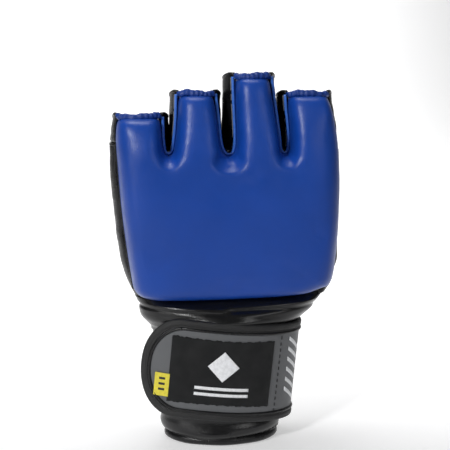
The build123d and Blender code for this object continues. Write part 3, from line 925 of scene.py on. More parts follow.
def palm_leather():
    """The palm panel, its two side gussets and their bound openings."""
    points, faces = surface_nets(palm_field, (-65, SEAM_Y - 1, 84), (70, PALM_Y + 2, WEB_Z + 1), 1.1)
    points = settle(palm_field, points, reach=0.4)
    normals = vertex_normals(points, faces)
    panels = {
        "pinky_side": ([((-PANEL_X, 0, 0), (1, 0, 0))], ["pinky_gusset"]),
        "palm": ([((PANEL_X, 0, 0), (1, 0, 0)), ((-PANEL_X, 0, 0), (-1, 0, 0))], ["palm_panel"]),
        "thumb_side": ([((PANEL_X, 0, 0), (-1, 0, 0))], ["thumb_gusset"]),
    }
    for name, (cuts, nodes) in panels.items():
        shape, smooth = cut_piece(points, faces, normals, cuts)
        piece(name + "_leather", shape, "black_leather", HAND_BEND, nodes, normals=smooth)

    x, z = oval_line(WINDOW, WINDOW_HALF)
    bound_opening("palm_window_binding", "palm_binding", np.column_stack([x, 0 * x, z]), (0, 1, 0))
    y, z = oval_line(THUMB, THUMB_HALF)
    bound_opening("thumb_hole_binding", "thumb_binding", np.column_stack([0 * y + 20, y, z]), (1, 0, 0))
    palm_stitching()


def oval_line(centre, half):
    """The two coordinates of places just outside an oval opening."""
    turn = np.linspace(0, 2 * pi, 96, endpoint=False)
    return (centre[0] + (half[0] + BOUND_PAST) * np.cos(turn),
            centre[1] + (half[1] + BOUND_PAST) * np.sin(turn))


def bound_opening(name, node, inside, direction):
    """The bound edge of an opening, where lines from inside the hand meet its leather."""
    edge = on_hand(inside, direction, SHELL / 2)
    shape = tube(edge, 2.0, sides=14, closed=True, flat=0.95, up=direction)
    piece(name, shape, "black_binding", HAND_BEND, [node])


def palm_stitching():
    """Raised seams and stitches where the palm panel meets the side gussets, and round the pad."""
    height = np.linspace(PAD_FOOT + 1, WEB_Z - 2, 60)
    shapes, stitches = [], []
    for side in (-PANEL_X, PANEL_X):
        inside = np.stack([0 * height + side, 0 * height, height], axis=1)
        line = on_hand(inside, (0, 1, 0), 0.35)
        shapes.append(tube(line, 0.7, sides=8, up=(0, 1, 0)))
        beside = on_hand(inside - (np.sign(side) * 2.0, 0, 0), (0, 1, 0), 0.1)
        stitches.append(dashes(beside, 2.2, 1.2, 0.28, up=(0, 1, 0)))
    for edge in (LEFT_EDGE, RIGHT_EDGE):
        line = smooth_path(edge, 60)
        place = np.stack([line[:, 0], np.full(60, SEAM_Y + 0.1), line[:, 1]], axis=1)
        keep = place[(place[:, 2] < WEB_Z - 2.5) & (place[:, 2] > PAD_FOOT + 3)]
        shapes.append(tube(keep, 0.75, sides=8, up=(1, 0, 0)))
    turn = np.linspace(radians(-7), radians(187), 160)
    direction = np.stack([np.cos(turn), np.sin(turn), 0 * turn], axis=1)
    inside = np.tile((3.0, -2.0, WEB_Z - 0.5), (len(turn), 1))
    shapes.append(tube(on_hand(inside, direction, 0.75), 0.95, sides=10, up=(0, 0, 1)))
    piece("palm_seams", joined(shapes), "black_leather", HAND_BEND)
    piece("palm_stitches", joined(stitches), "thread", HAND_BEND)


# ---------------------------------------------------------------- finger stalls

STALL_SIDES = {finger: (low(finger + "_stall", 0), high(finger + "_stall", 0)) for finger in HEM_TOP}
STALL_PALM = curve((WEB_Z - 4, PALM_Y - 8.6), (WEB_Z + 2, PALM_Y - 9.0), (215, PALM_Y - 12.5))
# How much lower the stalls' ends are on the palm side.
PALM_DROP = 4.6


def stall_ring(finger, z, offset=0.0, count=44):
    """The stall's section at height z, from one edge of the lobe round the palm side to the other."""
    left, right = STALL_SIDES[finger]
    lean = np.clip((z - WEB_Z) / 40, 0, 1)
    narrowing = {"pinky": (5.0, 1.2), "index": (1.2, 5.2)}.get(finger, (1.2, 1.2))
    left, right = left + 0.5 + narrowing[0] * lean, right - 0.5 - narrowing[1] * lean
    lobe_left, lobe_right = lobe_sides(finger, min(max(z, WEB_Z + 1), HEM_FOOT[finger]))
    palm = float(STALL_PALM(z))
    middle = (left + right) / 2
    points = [(lobe_left + 0.8, SEAM_Y - 0.2), ((lobe_left + left) / 2 + 0.2, SEAM_Y + 3.5), (left, 0.5),
              (left + 0.8, palm - 6.5), (left + 5, palm - 1.2), (middle, palm),
              (right - 5, palm - 1.2), (right - 0.8, palm - 6.5), (right, 0.5),
              ((lobe_right + right) / 2 - 0.2, SEAM_Y + 3.5), (lobe_right - 0.8, SEAM_Y - 0.2)]
    ring = smooth_path(points, count)
    ring = ring - left_of(ring) * offset
    outside = np.clip(hand_distance(ring[:, 0], ring[:, 1], WEB_Z - 1.0) + 0.7 - offset, 0, 6)
    inward = unit((middle, (SEAM_Y + palm) / 2) - ring)
    ring = ring + inward * (outside * np.clip((WEB_Z + 1.3 - z) / 1.8, 0, 1))[:, None]
    return np.column_stack([ring, np.full(count, z)])


def stall_grid(finger, foot, top, offset, rows, columns):
    """A stall's surface up to a top edge that is cut lower on the palm side."""
    low_rows = rows // 3
    heights = np.concatenate([np.linspace(foot, WEB_Z + 2, low_rows),
                              np.linspace(WEB_Z + 3, top, rows - low_rows)])
    grid = np.stack([stall_ring(finger, z, offset, columns) for z in heights], axis=1)
    drop = PALM_DROP * np.clip((grid[:, -1, 1] - SEAM_Y - 3) / 18, 0, 1)
    share = np.clip((heights - WEB_Z) / (top - WEB_Z), 0, 1)
    grid[..., 2] -= drop[:, None] * share[None]
    return grid


def stalls():
    """Black leather stalls, their bound top edges and the fabric inside the lobes."""
    for seed, finger in enumerate(HEM_TOP):
        top = HEM_TOP[finger] + 0.2
        outer = stall_grid(finger, WEB_Z - 4.5, top - 1.0, 0.0, 26, 44)
        inner = stall_grid(finger, WEB_Z - 4.5, top - 1.0, -1.3, 26, 44)
        spots = outer.reshape(-1, 3)
        fold = 0.3 * ripple(spots, 9, 30 + seed, stretch=(3, 3, 0.8)).reshape(outer.shape[:2])
        fold *= np.clip((outer[..., 2] - WEB_Z) / 4, 0, 1)
        push = outer - outer.mean(axis=0, keepdims=True)
        push[..., 2] = 0
        push = unit(push) * fold[..., None]
        piece(finger + "_stall_leather", slab(outer + push, inner + push), "black_leather",
              finger_bend(finger), [finger + "_stall"], subdivide=1)
        rim = stall_grid(finger, WEB_Z, top - 1.2, -0.65, 4, 60)[:, -1]
        piece(finger + "_stall_binding", tube(rim, 1.05, sides=10, up=(0, 0, 1), flat=1.1),
              "black_leather", finger_bend(finger))
        below = stall_grid(finger, WEB_Z, top - 4.0, 0.15, 4, 60)[:, -1]
        away = np.gradient(below, axis=0)
        away = np.stack([away[:, 1], -away[:, 0], 0 * below[:, 0]], axis=1)
        stitches = [tube(below[k:k + 3], 0.25, sides=6, up=away[k:k + 3]) for k in range(6, 52, 3)]
        piece(finger + "_stall_stitches", joined(stitches), "thread", finger_bend(finger))
        finger_lining(finger)


def finger_lining(finger):
    """The fabric between a lobe's padding and the finger."""
    foot, top = WEB_Z - 5.2, HEM_TOP[finger] - 1.5
    heights = np.linspace(foot, top, 16)
    outer, inner = [], []
    for z in heights:
        left, right = lobe_sides(finger, min(max(z, WEB_Z + 1), HEM_FOOT[finger]))
        x = np.linspace(left + 1.4, right - 1.4, 14)
        sag = 0.5 * np.sin(pi * np.linspace(0, 1, 14)) + 0.15 * np.sin(z * 0.9)
        outer.append(np.column_stack([x, SEAM_Y + 0.25 + 0 * x, 0 * x + z]))
        inner.append(np.column_stack([x, SEAM_Y + 1.3 + sag, 0 * x + z]))
    piece(finger + "_lining_cloth", slab(np.array(outer), np.array(inner)), "lining", finger_bend(finger),
          [finger + "_lining"], bevel=0.2)


def webs():
    """The leather saddles at the foot of each slot, behind the pad."""
    for name, centre in SLOTS.items():
        left_edge, right_edge = SLOT_FEET[name][0] - 3.4, SLOT_FEET[name][0] + 3.4
        depth = np.linspace(SEAM_Y + 0.3, PALM_Y - 9.5, 22)
        share = np.clip((depth - SEAM_Y) / 9, 0, 1) ** 0.7
        across = np.linspace(-1, 1, 13)
        outer, inner = [], []
        for y, s in zip(depth, share):
            left = left_edge + (centre - 1.6 - left_edge) * s
            right = right_edge + (centre + 1.6 - right_edge) * s
            x = (left + right) / 2 + across * (right - left) / 2
            z = WEB_Z - 1.9 - 2.8 * (1 - s) + 2.6 * across**2 - 0.8 * sin(pi * (y - SEAM_Y) / 26)
            outer.append(np.column_stack([x, 0 * x + y, z]))
            inner.append(np.column_stack([x, 0 * x + y, z - 1.3]))
        piece("web_saddle_" + name, slab(np.array(outer), np.array(inner)), "black_leather", "hand",
              ["web_" + name], subdivide=1)


def back_lining():
    """The lining cloth behind the pad, seen through the palm window."""
    heights = np.linspace(PAD_FOOT + 0.5, WEB_Z - 4.8, 42)
    outer, inner = [], []
    for z in heights:
        left = np.interp(z, *np.array(LEFT_EDGE).T[::-1]) + 1.8
        right = np.interp(z, *np.array(RIGHT_EDGE[::-1]).T[::-1]) - 1.8
        x = np.linspace(left, right, 50)
        spots = np.column_stack([x, 0 * x, 0 * x + z])
        outer.append(np.column_stack([x, 0 * x + SEAM_Y + 0.25, 0 * x + z]))
        inner.append(np.column_stack([x, SEAM_Y + 1.35 + 0.25 * ripple(spots, 18, 41), 0 * x + z]))
    piece("back_lining_cloth", slab(np.array(outer), np.array(inner)), "lining", HAND_BEND, ["back_lining"],
          bevel=0.2)


# ---------------------------------------------------------------- cuff and sleeve

RIM_HALF = (33.0, 23.0)
TOP_HALF = (40.5, 25.0)


def cuff_half(z):
    """Half width and half depth of the cuff at height z."""
    share = np.asarray(z, float) / CUFF_TOP
    return tuple(rim + share * (top - rim) for rim, top in zip(RIM_HALF, TOP_HALF))


def on_cuff(angle, z, lift):
    """A place on the cuff: angle 0 is the middle of the back, and grows towards the thumb."""
    half_width, half_depth = cuff_half(z)
    x = (half_width + lift) * np.sin(angle)
    y = -(half_depth + lift) * np.cos(angle)
    return np.stack(np.broadcast_arrays(x, y, np.asarray(z, float)), axis=-1)


SLIT_RADIUS = 38.0
SLIT_SIDES = (high("slit_binding", 0) - 1.7, low("slit_binding", 0) + 1.7)
SLIT_ANGLES = [pi - np.arcsin(x / SLIT_RADIUS) for x in SLIT_SIDES]
CUFF_START, CUFF_END = SLIT_ANGLES[1] - 2 * pi, SLIT_ANGLES[0]
CUFF_ANGLES = np.linspace(CUFF_START, CUFF_END, 150)


def cuff_bulge(z):
    """The cuff's fullness between its rim and the strap."""
    return 1.3 * np.exp(-((z - 9.5) / 3.6) ** 2) - 1.3 * np.exp(-((z - 4.0) / 1.6) ** 2)


def front_bulge(points, centre, spread, height):
    """A soft swelling on the back-of-hand side, centred at an (x, z)."""
    across, up = (points[..., 0] - centre[0]) / spread[0], (points[..., 2] - centre[1]) / spread[1]
    return height * np.exp(-across**2 - up**2) * (points[..., 1] < 0)


def cuff():
    """The leather cuff with its padding and lining."""
    layers = {
        "cuff_leather": ("black_leather", ["cuff_shell"], 0.0, -1.5, 3.0, CUFF_TOP),
        "cuff_padding_foam": ("foam", ["cuff_padding"], -1.6, -3.0, 5.0, CUFF_TOP - 0.5),
        "cuff_lining_cloth": ("lining", ["cuff_lining"], -3.1, -3.9, 3.0, CUFF_TOP),
    }
    for name, (look, nodes, out, within_it, foot, top) in layers.items():
        a, z = crossed(CUFF_ANGLES, np.linspace(foot, top, 60))
        lift = out + 0 * z
        if look == "black_leather":
            spots = on_cuff(a, z, 0.0)
            uneven = 0.18 * ripple(spots, 8, 51, stretch=(3, 3, 0.7))
            lift = lift + cuff_bulge(z) * (1 + 0.35 * np.sin(3 * a)) + uneven
            lift = lift + front_bulge(spots, (-5, 6.4), (14, 2.6), 2.3)
        shown = "shiny_leather" if look == "black_leather" else look
        shape = slab(on_cuff(a, z, lift), on_cuff(a, z, within_it))
        made = piece(name, shape, shown, "cuff", nodes, bevel=0.25)
    cuff_trim()


def cuff_trim():
    """The cuff's bound rim and slit, the elastic behind the slit and the rim's stitches."""
    rim = on_cuff(CUFF_ANGLES, 2.5, -2.5)
    rim_shape = tube(rim, 2.55, sides=16, up=(0, 0, 1), flat=1.02,
                     swell=lambda along, turn: 0.05 * np.cos(2 * turn + 1) + 0.03 * np.sin(50 * along))
    piece("rim_binding", rim_shape, "black_leather", "cuff", ["cuff_binding"])
    heights = np.linspace(4.5, CUFF_TOP - 0.4, 60)
    edges = [tube(on_cuff(angle, heights, -1.6), 1.9, sides=12, up=(1, 0, 0), flat=0.55)
             for angle in (CUFF_START, CUFF_END)]
    piece("slit_edges", joined(edges), "black_binding", "cuff", ["slit_binding"])
    overlap = 0.18
    a, z = crossed(np.linspace(CUFF_END - overlap, CUFF_START + 2 * pi + overlap, 40),
                   np.linspace(0.3, CUFF_TOP - 0.6, 60))
    ribs = 0.22 * np.cos(2 * pi * z / 2.4)
    piece("slit_elastic", slab(on_cuff(a, z, -4.0 + ribs), on_cuff(a, z, -5.0 + ribs)), "elastic", "cuff",
          ["elastic_gusset"])
    stitch_line = on_cuff(CUFF_ANGLES, 6.2, 0.35)
    stitches = [tube(stitch_line[k:k + 3], 0.24, sides=6, up=(0, 0, 1)) for k in range(0, 146, 3)]
    piece("rim_stitches", joined(stitches), "thread", "cuff")


# The sleeve's sections by height: half width, sideways centre, depth to the back and to the palm, squareness.
sleeve_half = curve((64, 40.6), (68, 41.6), (70, 43.4), (73.5, 47.6), (80.8, 51.2), (86.3, 54.2), (89, 54.8))
sleeve_centre = curve((64, 0.0), (68, 0.3), (73.5, 2.4), (80.8, 4.0), (86.3, 4.5), (89, 4.6))
sleeve_front = curve((64, 25.1), (68, 25.9), (72, 26.7), (76, 27.0), (80, 26.4), (83.6, 23.6), (86.6, 18.0),
                     (90, 15.0))
sleeve_palm = curve((64, 25.2), (72, 25.4), (80, 24.6), (89, 23.6))
sleeve_square = curve((64, 2.0), (75, 2.15), (89, 2.75))
SLEEVE_LOW, SLEEVE_HIGH = 65.5, 88.5
# The simulation holds the sleeve's ends, counted from this height.
HELD_MIDDLE, HELD_HALF = 76.75, 11.25


def sleeve_ring(z, turn):
    """A ring of the wrist sleeve; turn 0 is the middle of the back."""
    power = 2 / float(sleeve_square(z))
    s, c = np.sin(turn), np.cos(turn)
    x = float(sleeve_centre(z)) + float(sleeve_half(z)) * np.sign(s) * np.abs(s) ** power
    depth = np.where(c > 0, float(sleeve_front(z)), float(sleeve_palm(z)))
    y = -depth * np.sign(c) * np.abs(c) ** power
    return np.column_stack([x, y, np.full(len(turn), float(z))])


def loosened(rings):
    """The sleeve's rings as cloth simulation leaves them, its moves smoothed round the wrist."""
    place = rings.reshape(-1, 3)
    wall = [f for f in slab(rings, rings, ring=True)[1] if max(f) < len(place)]
    share = np.abs((place[:, 2] - HELD_MIDDLE) / HELD_HALF)
    pinned = np.clip((share - 0.72) * 8, 0, 1)
    moves = cloth_moves(place, wall, pinned, cap=3.2, pressure=1.5, shrink=-0.06, bending=6.0)
    moves = moves.reshape(rings.shape)
    for _ in range(8):
        near = (np.roll(moves, 1, axis=0) + moves + np.roll(moves, -1, axis=0)) / 3
        moves = (np.roll(near, 2, axis=0) + near + np.roll(near, -2, axis=0)) / 3
    return rings + moves


def more_rows(grid, count):
    """The grid again, with count rows of points in place of its own."""
    rows = np.linspace(0, grid.shape[1] - 1.001, count)
    whole, part = rows.astype(int), (rows % 1)[None, :, None]
    return grid[:, whole] * (1 - part) + grid[:, whole + 1] * part


def wrist_sleeve():
    """The loose black sleeve between the cuff and the hand: simulated, then creased and folded."""
    turn = np.linspace(0, 2 * pi, 132, endpoint=False)
    rings = np.stack([sleeve_ring(z, turn) for z in np.linspace(SLEEVE_LOW, SLEEVE_HIGH, 23)], axis=1)
    place = loosened(rings)
    away = place - place.mean(axis=0, keepdims=True)
    away[..., 2] = 0
    away = more_rows(unit(away), 60)
    place = more_rows(place, 60)
    z = place[..., 2]
    free = np.clip(1 - np.abs((z - 77) / 9) ** 3, 0, 1)
    folds = 0.25 * np.sin((z - 71) * 0.95 + 0.8 * np.sin(2 * turn)[:, None])
    folds = folds * (0.6 + 0.4 * np.cos(turn))[:, None]
    crease = 79.3 + 1.3 * np.sin(turn * 1.5 + 0.6)[:, None]
    folds = folds - 0.9 * np.exp(-((z - crease) / 1.3) ** 2) + 0.5 * np.exp(-((z - crease - 2.4) / 1.5) ** 2)
    swelling = front_bulge(place, (3, 74.2), (13, 3.0), 2.0)
    uneven = 0.3 * ripple(place, 18, 61, stretch=(2, 2, 0.8))
    place = place + away * (free * (folds + swelling + uneven))[..., None]
    made = piece("wrist_sleeve_leather", slab(place, place - away * 1.4, ring=True), "shiny_leather",
                 HAND_BEND, ["wrist_sleeve"], subdivide=1)


# ---------------------------------------------------------------- strap

TIP_X = low("strap_binding", 0)
TIP_LENGTH = 20.0
EDGE = 4.6
LEAN = 0.1
TIP_REACH = 17.0
THUMB_STANDOFF = 2.2
STRAP_LIFT = 3.4
STRAP_SLOPE = 0.095
STRAP_BOW = 1.5
STRAP_HALF_WIDTH = cuff_half(STRAP_MIDDLE)[0]
# Millimetres along the strap to a radian round it.
STRAP_RADIUS = 44
FACE_MARGIN = EDGE - 0.4
FACE_HALF = STRAP_HALF - EDGE + 0.4
# How far over the cuff each layer's underside and top are.
FACE_LIFTS, BACKING_LIFTS, BAND_LIFTS = (3.1, 4.1), (2.3, 3.0), (2.3, 4.9)
FOLD_ACROSS = ("strap_base", "strap_tab", (0, 8, 0), (0, -8, 0))
ROOT_ACROSS = ("cuff", "strap_base", (-20, 0, 0), (-8, 0, 0))
BASE_SPLIT = radians(128)
ROOT_TURN = pi + 0.37
ANCHOR_TURN = pi + 0.80
# Across the band and up it, as shares of its width and height. The notch is its stitched groove.
BAND_PROFILE = [(-0.5, 0.1), (-0.53, 0.5), (-0.46, 0.86), (-0.3, 1.0), (0.0, 1.02), (0.2, 0.95), (0.3, 0.72),
                (0.38, 0.92), (0.46, 0.86), (0.5, 0.5), (0.5, 0.0), (0.0, 0.0)]


def strap_turn(x):
    """The angle round the strap of a place x across its front."""
    reach = STRAP_HALF_WIDTH + 4 + np.where(np.asarray(x) < 0, TIP_REACH, 0.0)
    return np.arcsin(np.clip(np.asarray(x, float) / reach, -1, 1))


def on_strap(turn, rise, lift):
    """A place on the strap: turn round it, rise from its middle line, lift over the cuff."""
    turn, rise, lift = np.broadcast_arrays(*(np.asarray(v, float) for v in (turn, rise, lift)))
    reach = STRAP_HALF_WIDTH + lift + np.where(turn < 0, TIP_REACH, THUMB_STANDOFF * np.sin(turn) ** 2)
    ahead = np.where(turn < pi / 2, 1.0, np.sin(np.minimum(turn, pi)))
    x = reach * np.sin(turn) + LEAN * rise * ahead
    across = np.clip(reach * np.sin(turn), -50, 45)
    z = STRAP_MIDDLE + rise + (STRAP_LIFT - STRAP_SLOPE * across) * ahead
    depth = cuff_half(z)[1] + lift
    bow = STRAP_BOW * np.cos(turn) * (1 - (rise / STRAP_HALF) ** 2) * (turn < pi / 2)
    y = -(depth + bow) * np.cos(turn)
    return np.stack([x, y, z], axis=-1)


def plate(x, rise, low_lift, high_lift):
    """A thin solid on the strap's front, between two lifts."""
    turn = strap_turn(x)
    return slab(on_strap(turn, rise, high_lift), on_strap(turn, rise, low_lift))


def tip_x(rise, margin=0.0):
    """Where the strap's rounded end begins, at a distance from its middle line."""
    share = np.clip(np.abs(rise) / (STRAP_HALF - margin), 0, 1)
    return TIP_X + margin + (TIP_LENGTH - margin * 0.3) * (1 - np.sqrt(1 - share**2.15))


def strap_front(lifts, columns=110, rows=30):
    """A layer of the strap, from its rounded tip round to where its two lengths meet."""
    rises = FACE_HALF * np.sin(np.linspace(-pi / 2, pi / 2, rows))
    start = strap_turn(tip_x(rises, FACE_MARGIN))
    share = np.linspace(0, 1, columns)[:, None]
    turns = start[None] + share * (BASE_SPLIT - start[None])
    rises = np.broadcast_to(rises[None], turns.shape)
    return slab(on_strap(turns, rises, lifts[1]), on_strap(turns, rises, lifts[0]))


def strap_root(lifts):
    """A layer of the strap's sewn length, which comes down onto the cuff at its end."""
    turns, rises = crossed(np.linspace(BASE_SPLIT, ANCHOR_TURN, 60), np.linspace(-FACE_HALF, FACE_HALF, 24))
    drop = 2.0 * np.clip((turns - ROOT_TURN + 0.05) / 0.25, 0, 1)
    return slab(on_strap(turns, rises, lifts[1] - drop), on_strap(turns, rises, lifts[0] - drop))


def strap_edge_path(margin, count):
    """Along the strap's edge, from its upper side round the tip to its lower side, as (turn, rise)."""
    half = STRAP_HALF - margin
    rises = half * np.sin(np.linspace(pi / 2, -pi / 2, 60))
    turns = strap_turn(tip_x(rises, margin))
    straight = np.linspace(BASE_SPLIT, turns[0], 60)[:-1]
    turns = np.concatenate([straight, turns, straight[::-1]])
    rises = np.concatenate([0 * straight + half, rises, 0 * straight - half])
    flat = spaced(np.column_stack([turns * STRAP_RADIUS, rises]), count)
    return flat[:, 0] / STRAP_RADIUS, flat[:, 1]


def banded(turns, rises):
    """A rolled edge band along a path on the strap, with a stitched groove near its inner side."""
    flat = np.column_stack([turns * STRAP_RADIUS, rises])
    inward = left_of(flat)
    low_lift, high_lift = BAND_LIFTS
    height = high_lift - low_lift
    rings = []
    for across, up in BAND_PROFILE:
        moved = flat + inward * across * EDGE
        rings.append(on_strap(moved[:, 0] / STRAP_RADIUS, moved[:, 1], low_lift + up * height))
    rings = np.stack(rings, axis=1)
    count, sides = rings.shape[:2]
    faces = []
    for i in range(count - 1):
        for k in range(sides):
            m = (k + 1) % sides
            faces.append((i * sides + k, i * sides + m, (i + 1) * sides + m, (i + 1) * sides + k))
    faces.append(tuple(range(sides)))
    faces.append(tuple((count - 1) * sides + k for k in range(sides))[::-1])
    return rings.reshape(-1, 3), faces


def strap():
    """The wrist strap: a grey face on a cloth backing, bound in black all round."""
    piece("strap_grey_face", strap_front(FACE_LIFTS), "grey_leather", FOLD_ACROSS, ["strap_face"], bevel=0.2)
    piece("strap_cloth_backing", strap_front(BACKING_LIFTS), "backing_fabric", FOLD_ACROSS, ["strap_backing"],
          bevel=0.2)
    edge = banded(*strap_edge_path(EDGE / 2, 260))
    piece("strap_edge_band", edge, "black_binding", FOLD_ACROSS, ["strap_binding"])
    piece("strap_root_face", strap_root(FACE_LIFTS), "grey_leather", ROOT_ACROSS,
          ["strap_base_face", "strap_anchor"], bevel=0.2)
    piece("strap_root_backing", strap_root(BACKING_LIFTS), "backing_fabric", ROOT_ACROSS,
          ["strap_base_backing"], bevel=0.2)
    path = np.linspace(BASE_SPLIT, ANCHOR_TURN, 90)
    middle = STRAP_HALF - EDGE / 2
    bands = [banded(path[::-1], 0 * path + middle), banded(path, 0 * path - middle)]
    piece("strap_root_bands", joined(bands), "black_binding", ROOT_ACROSS, ["strap_base_binding"])
    # A black cord laid where the edge band meets the grey face: a dark piece standing in for the shade in the
    # groove there.
    cord = tube(on_strap(*strap_edge_path(EDGE + 0.5, 240), 4.35), 0.85, sides=8)
    piece("strap_groove_cord_painted_shade", cord, "black_leather", FOLD_ACROSS)
    patch()
    label()
    strap_seam_and_bars()
    hook_and_loop()
    anchor_stitches()


def patch_shape(low_x, high_x, half_height, lifts, fray=0.0, columns=70, rows=40):
    """A sewn-on rectangle on the strap's front, its edges a little uneven."""
    xx, ss = crossed(np.linspace(low_x, high_x, columns), np.linspace(-1, 1, rows))
    wave = fray * (np.sin(xx * 2.9) * 0.5 + np.sin(xx * 1.1 + 1) * 0.6 + np.sin(xx * 5.3) * 0.35)
    bow = -0.9 * np.cos((xx - (low_x + high_x) / 2) / (high_x - low_x) * pi)
    rise = ss * half_height + bow * ss * 0.6 + wave * np.abs(ss) ** 8
    edge = np.minimum(1 - np.abs(ss), (1 - np.abs(2 * (xx - low_x) / (high_x - low_x) - 1)) * 1.4)
    crown = lifts[1] - 0.22 * np.exp(-edge * 22)
    return plate(xx, rise, lifts[0], crown)


def patch():
    """The dark patch and its printed device, a plain lozenge over two bars."""
    sides = (low("strap_patch", 0) + 0.7, high("strap_patch", 0) - 3.1)
    half = (high("strap_patch", 2) - low("strap_patch", 2)) / 2 + 0.8
    piece("strap_dark_patch", patch_shape(*sides, half, (4.1, 4.85), fray=0.35), "patch_fabric", "strap_tab",
          ["strap_patch"])
    ink = (4.7, 5.0)
    marks = []
    for rise in (-9.0, -12.6):
        marks.append(plate(*crossed(np.linspace(-16, 14, 40), [rise - 0.9, rise, rise + 0.9]), *ink))
    across, up = crossed(np.linspace(-1, 1, 24), np.linspace(-1, 1, 24))
    marks.append(plate((across + up) * 4.4 - 1, (up - across) * 4.4 + 4, *ink))
    piece("patch_device", joined(marks), "white_print", "strap_tab", ["patch_emblem"])


def label():
    """The yellow tag, curling up at its free end, and its three bars."""
    left, right = low("size_tag", 0) + 2.4, high("size_tag", 0) + 0.7
    foot, top = (edge("size_tag", 2) - STRAP_MIDDLE - 1.8 for edge in (low, high))

    def tag_plate(x, rise, low_lift, high_lift):
        xx, rr = crossed(x, rise)
        curl = 0.35 * (1 - (xx - left) / (right - left))
        return plate(xx, rr, low_lift + curl, high_lift + curl)

    shape = tag_plate(np.linspace(left, right, 16), np.linspace(foot, top, 20), 4.35, 4.85)
    piece("yellow_label", shape, "yellow_tag", "strap_tab", ["size_tag"], bevel=0.1)
    bars = []
    for step in range(3):
        rise = foot + 3.4 + step * 3.2
        x = np.linspace(left + 2.4, right - 2.2, 6)
        bars.append(tag_plate(x, np.linspace(rise, rise + 1.3, 4), 4.8, 5.0))
    piece("label_bars", joined(bars), "thread", "strap_tab")


def strap_seam_and_bars():
    """The stitched seam across the strap and the slanted bars printed at the thumb side."""
    seam_x = (low("seam_stitches", 0) + high("seam_stitches", 0)) / 2 - 2.4
    rises = np.linspace(-STRAP_HALF + EDGE + 0.8, STRAP_HALF - EDGE - 0.8, 80)
    line = on_strap(strap_turn(0 * rises + seam_x), rises, 4.12)
    piece("strap_cross_stitches", dashes(line, 2.3, 1.1, 0.3, up=(0.4, -0.9, 0)), "thread", FOLD_ACROSS,
          ["seam_stitches"])
    lowest, pitch, thick, slant = -11.5, 6.0, 2.3, 21.0
    turns, up = crossed(np.linspace(radians(58), radians(77), 14), np.linspace(0, thick, 4))
    bars = []
    for n in range(6):
        rise = lowest + n * pitch + up - (turns - turns[0, 0]) * slant
        bars.append(slab(on_strap(turns, rise, 4.3), on_strap(turns, rise, 4.0)))
    piece("strap_side_bars", joined(bars), "white_print", FOLD_ACROSS, ["side_stripes"])


def hook_and_loop():
    """The hook tape under the strap's free end and the loop tape on the cuff."""
    hook = patch_shape(-28, 21, STRAP_HALF - 10, (1.3, 2.2), columns=50, rows=24)
    piece("hook_strip", hook, "hook", "strap_tab", ["hook_tape"])
    a, z = crossed(np.linspace(-0.8, 0.7, 60), np.linspace(low("loop_tape", 2), high("loop_tape", 2), 30))
    piece("loop_strip", slab(on_cuff(a, z, 1.15), on_cuff(a, z, 0.3)), "loop_pile", "cuff", ["loop_tape"])


def anchor_stitches():
    """The box of stitches that holds the strap's end to the cuff."""
    start, end = ROOT_TURN + 0.12, ANCHOR_TURN - 0.08
    half = STRAP_HALF - EDGE - 2.5
    corners = [(start, -half), (end, -half), (end, half), (start, half), (start, -half)]
    share = np.linspace(0, 1, 60)
    runs = []
    for (t0, r0), (t1, r1) in zip(corners, corners[1:]):
        path = on_strap(t0 + share * (t1 - t0), r0 + share * (r1 - r0), 2.25)
        runs.append(dashes(path, 2.2, 1.0, 0.3, up=(-0.3, 0.95, 0)))
    piece("anchor_box_stitches", joined(runs), "thread", "cuff", ["anchor_stitches"])


# ---------------------------------------------------------------- studio


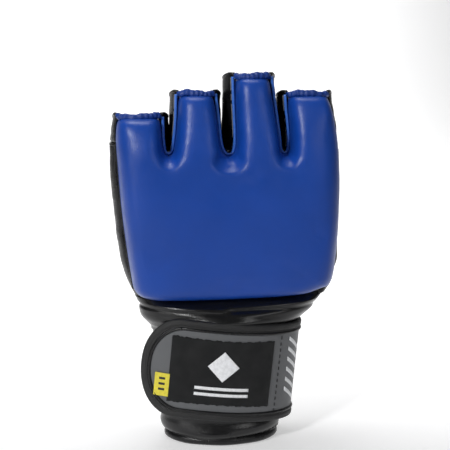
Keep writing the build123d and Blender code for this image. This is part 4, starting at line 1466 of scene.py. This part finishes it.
def studio():
    """A pale floor that sweeps up behind, with a painted glow where it lies behind the glove, soft light and
    the camera.
    """
    profile = smooth_path([(-2.6, 0.0), (0.2, 0.0), (1.0, 0.0), (1.6, 0.16), (1.95, 0.8), (2.05, 2.4)], 60)
    across = np.linspace(-3.5, 3.5, 8)
    below = 0.0004
    grid = np.array([[(x, y, z - below) for x in across] for y, z in profile])
    rows, columns = grid.shape[:2]
    faces = [(i * columns + j, i * columns + j + 1, (i + 1) * columns + j + 1, (i + 1) * columns + j)
             for i in range(rows - 1) for j in range(columns - 1)]
    floor = mesh_object("floor", grid.reshape(-1, 3) / MM, faces)
    n = Nodes("floor_paper_painted_glow")
    n.colour((0.66, 0.66, 0.665), (0.69, 0.69, 0.695), n.noise(300, detail=2))
    n.rough(n.noise(200, detail=2), 0.85, 0.95)
    axes = n.add("ShaderNodeSeparateXYZ")
    n.link(n.where, axes.inputs["Vector"])
    behind = n.ramp(axes.outputs["Y"], (-0.2, 0.0), (0.15, 0.75))
    aside = n.math("ABSOLUTE", axes.outputs["X"])
    # Painted glow: the floor gives off light behind the glove, fading towards the sides, so that it reads as
    # a lit white backdrop.
    painted_backdrop_glow = n.math("MULTIPLY", behind, n.ramp(aside, (0.3, 1.0), (0.8, 0.08)))
    n.link(painted_backdrop_glow, n.shader.inputs["Emission Strength"])
    n.shader.inputs["Emission Color"].default_value = (1, 1, 1, 1)
    floor.data.materials.append(n.material)

    world = bpy.data.worlds.new("studio")
    bpy.context.scene.world = world
    world.use_nodes = True
    background = world.node_tree.nodes["Background"]
    background.inputs["Color"].default_value = (1.0, 1.0, 1.0, 1)
    background.inputs["Strength"].default_value = 0.12

    lights = {
        "key": ((-0.7, -0.92, 0.72), 0.17, 9.5),
        "fill": ((0.7, -1.1, 0.6), 0.5, 1.8),
        "low": ((-0.9, -0.7, 0.08), 0.4, 1.1),
        "top": ((-0.1, 0.15, 1.1), 0.5, 5.0),
        "backdrop": ((0.0, 1.0, 1.5), 0.9, 9.0),
    }
    target = Vector((0.0, 0.0, 0.11))
    for name, (place, size, power) in lights.items():
        data = bpy.data.lights.new(name, "AREA")
        data.size = size
        data.energy = power
        light = bpy.data.objects.new(name, data)
        bpy.context.scene.collection.objects.link(light)
        light.location = place
        aim = target - light.location if name != "backdrop" else Vector((0, 0.9, -0.6))
        light.rotation_euler = aim.to_track_quat("-Z", "Y").to_euler()

    data = bpy.data.cameras.new("camera")
    data.lens = 98
    data.sensor_width = 36
    camera = bpy.data.objects.new("camera", data)
    bpy.context.scene.collection.objects.link(camera)
    bpy.context.scene.camera = camera
    azimuth, elevation, distance = radians(-4.5), radians(10), 0.706
    aim = Vector((0.0025, 0.0, 0.1252))
    back = Vector((sin(azimuth) * cos(elevation), -cos(azimuth) * cos(elevation), sin(elevation)))
    camera.location = aim + back * distance
    camera.rotation_euler = (-back).to_track_quat("-Z", "Y").to_euler()
    bpy.context.scene.view_settings.view_transform = "Standard"


make_materials()
padded_back()
hems()
slot_piping()
seam_edges_and_painted_highlights()
palm_leather()
stalls()
webs()
back_lining()
cuff()
wrist_sleeve()
strap()
studio()
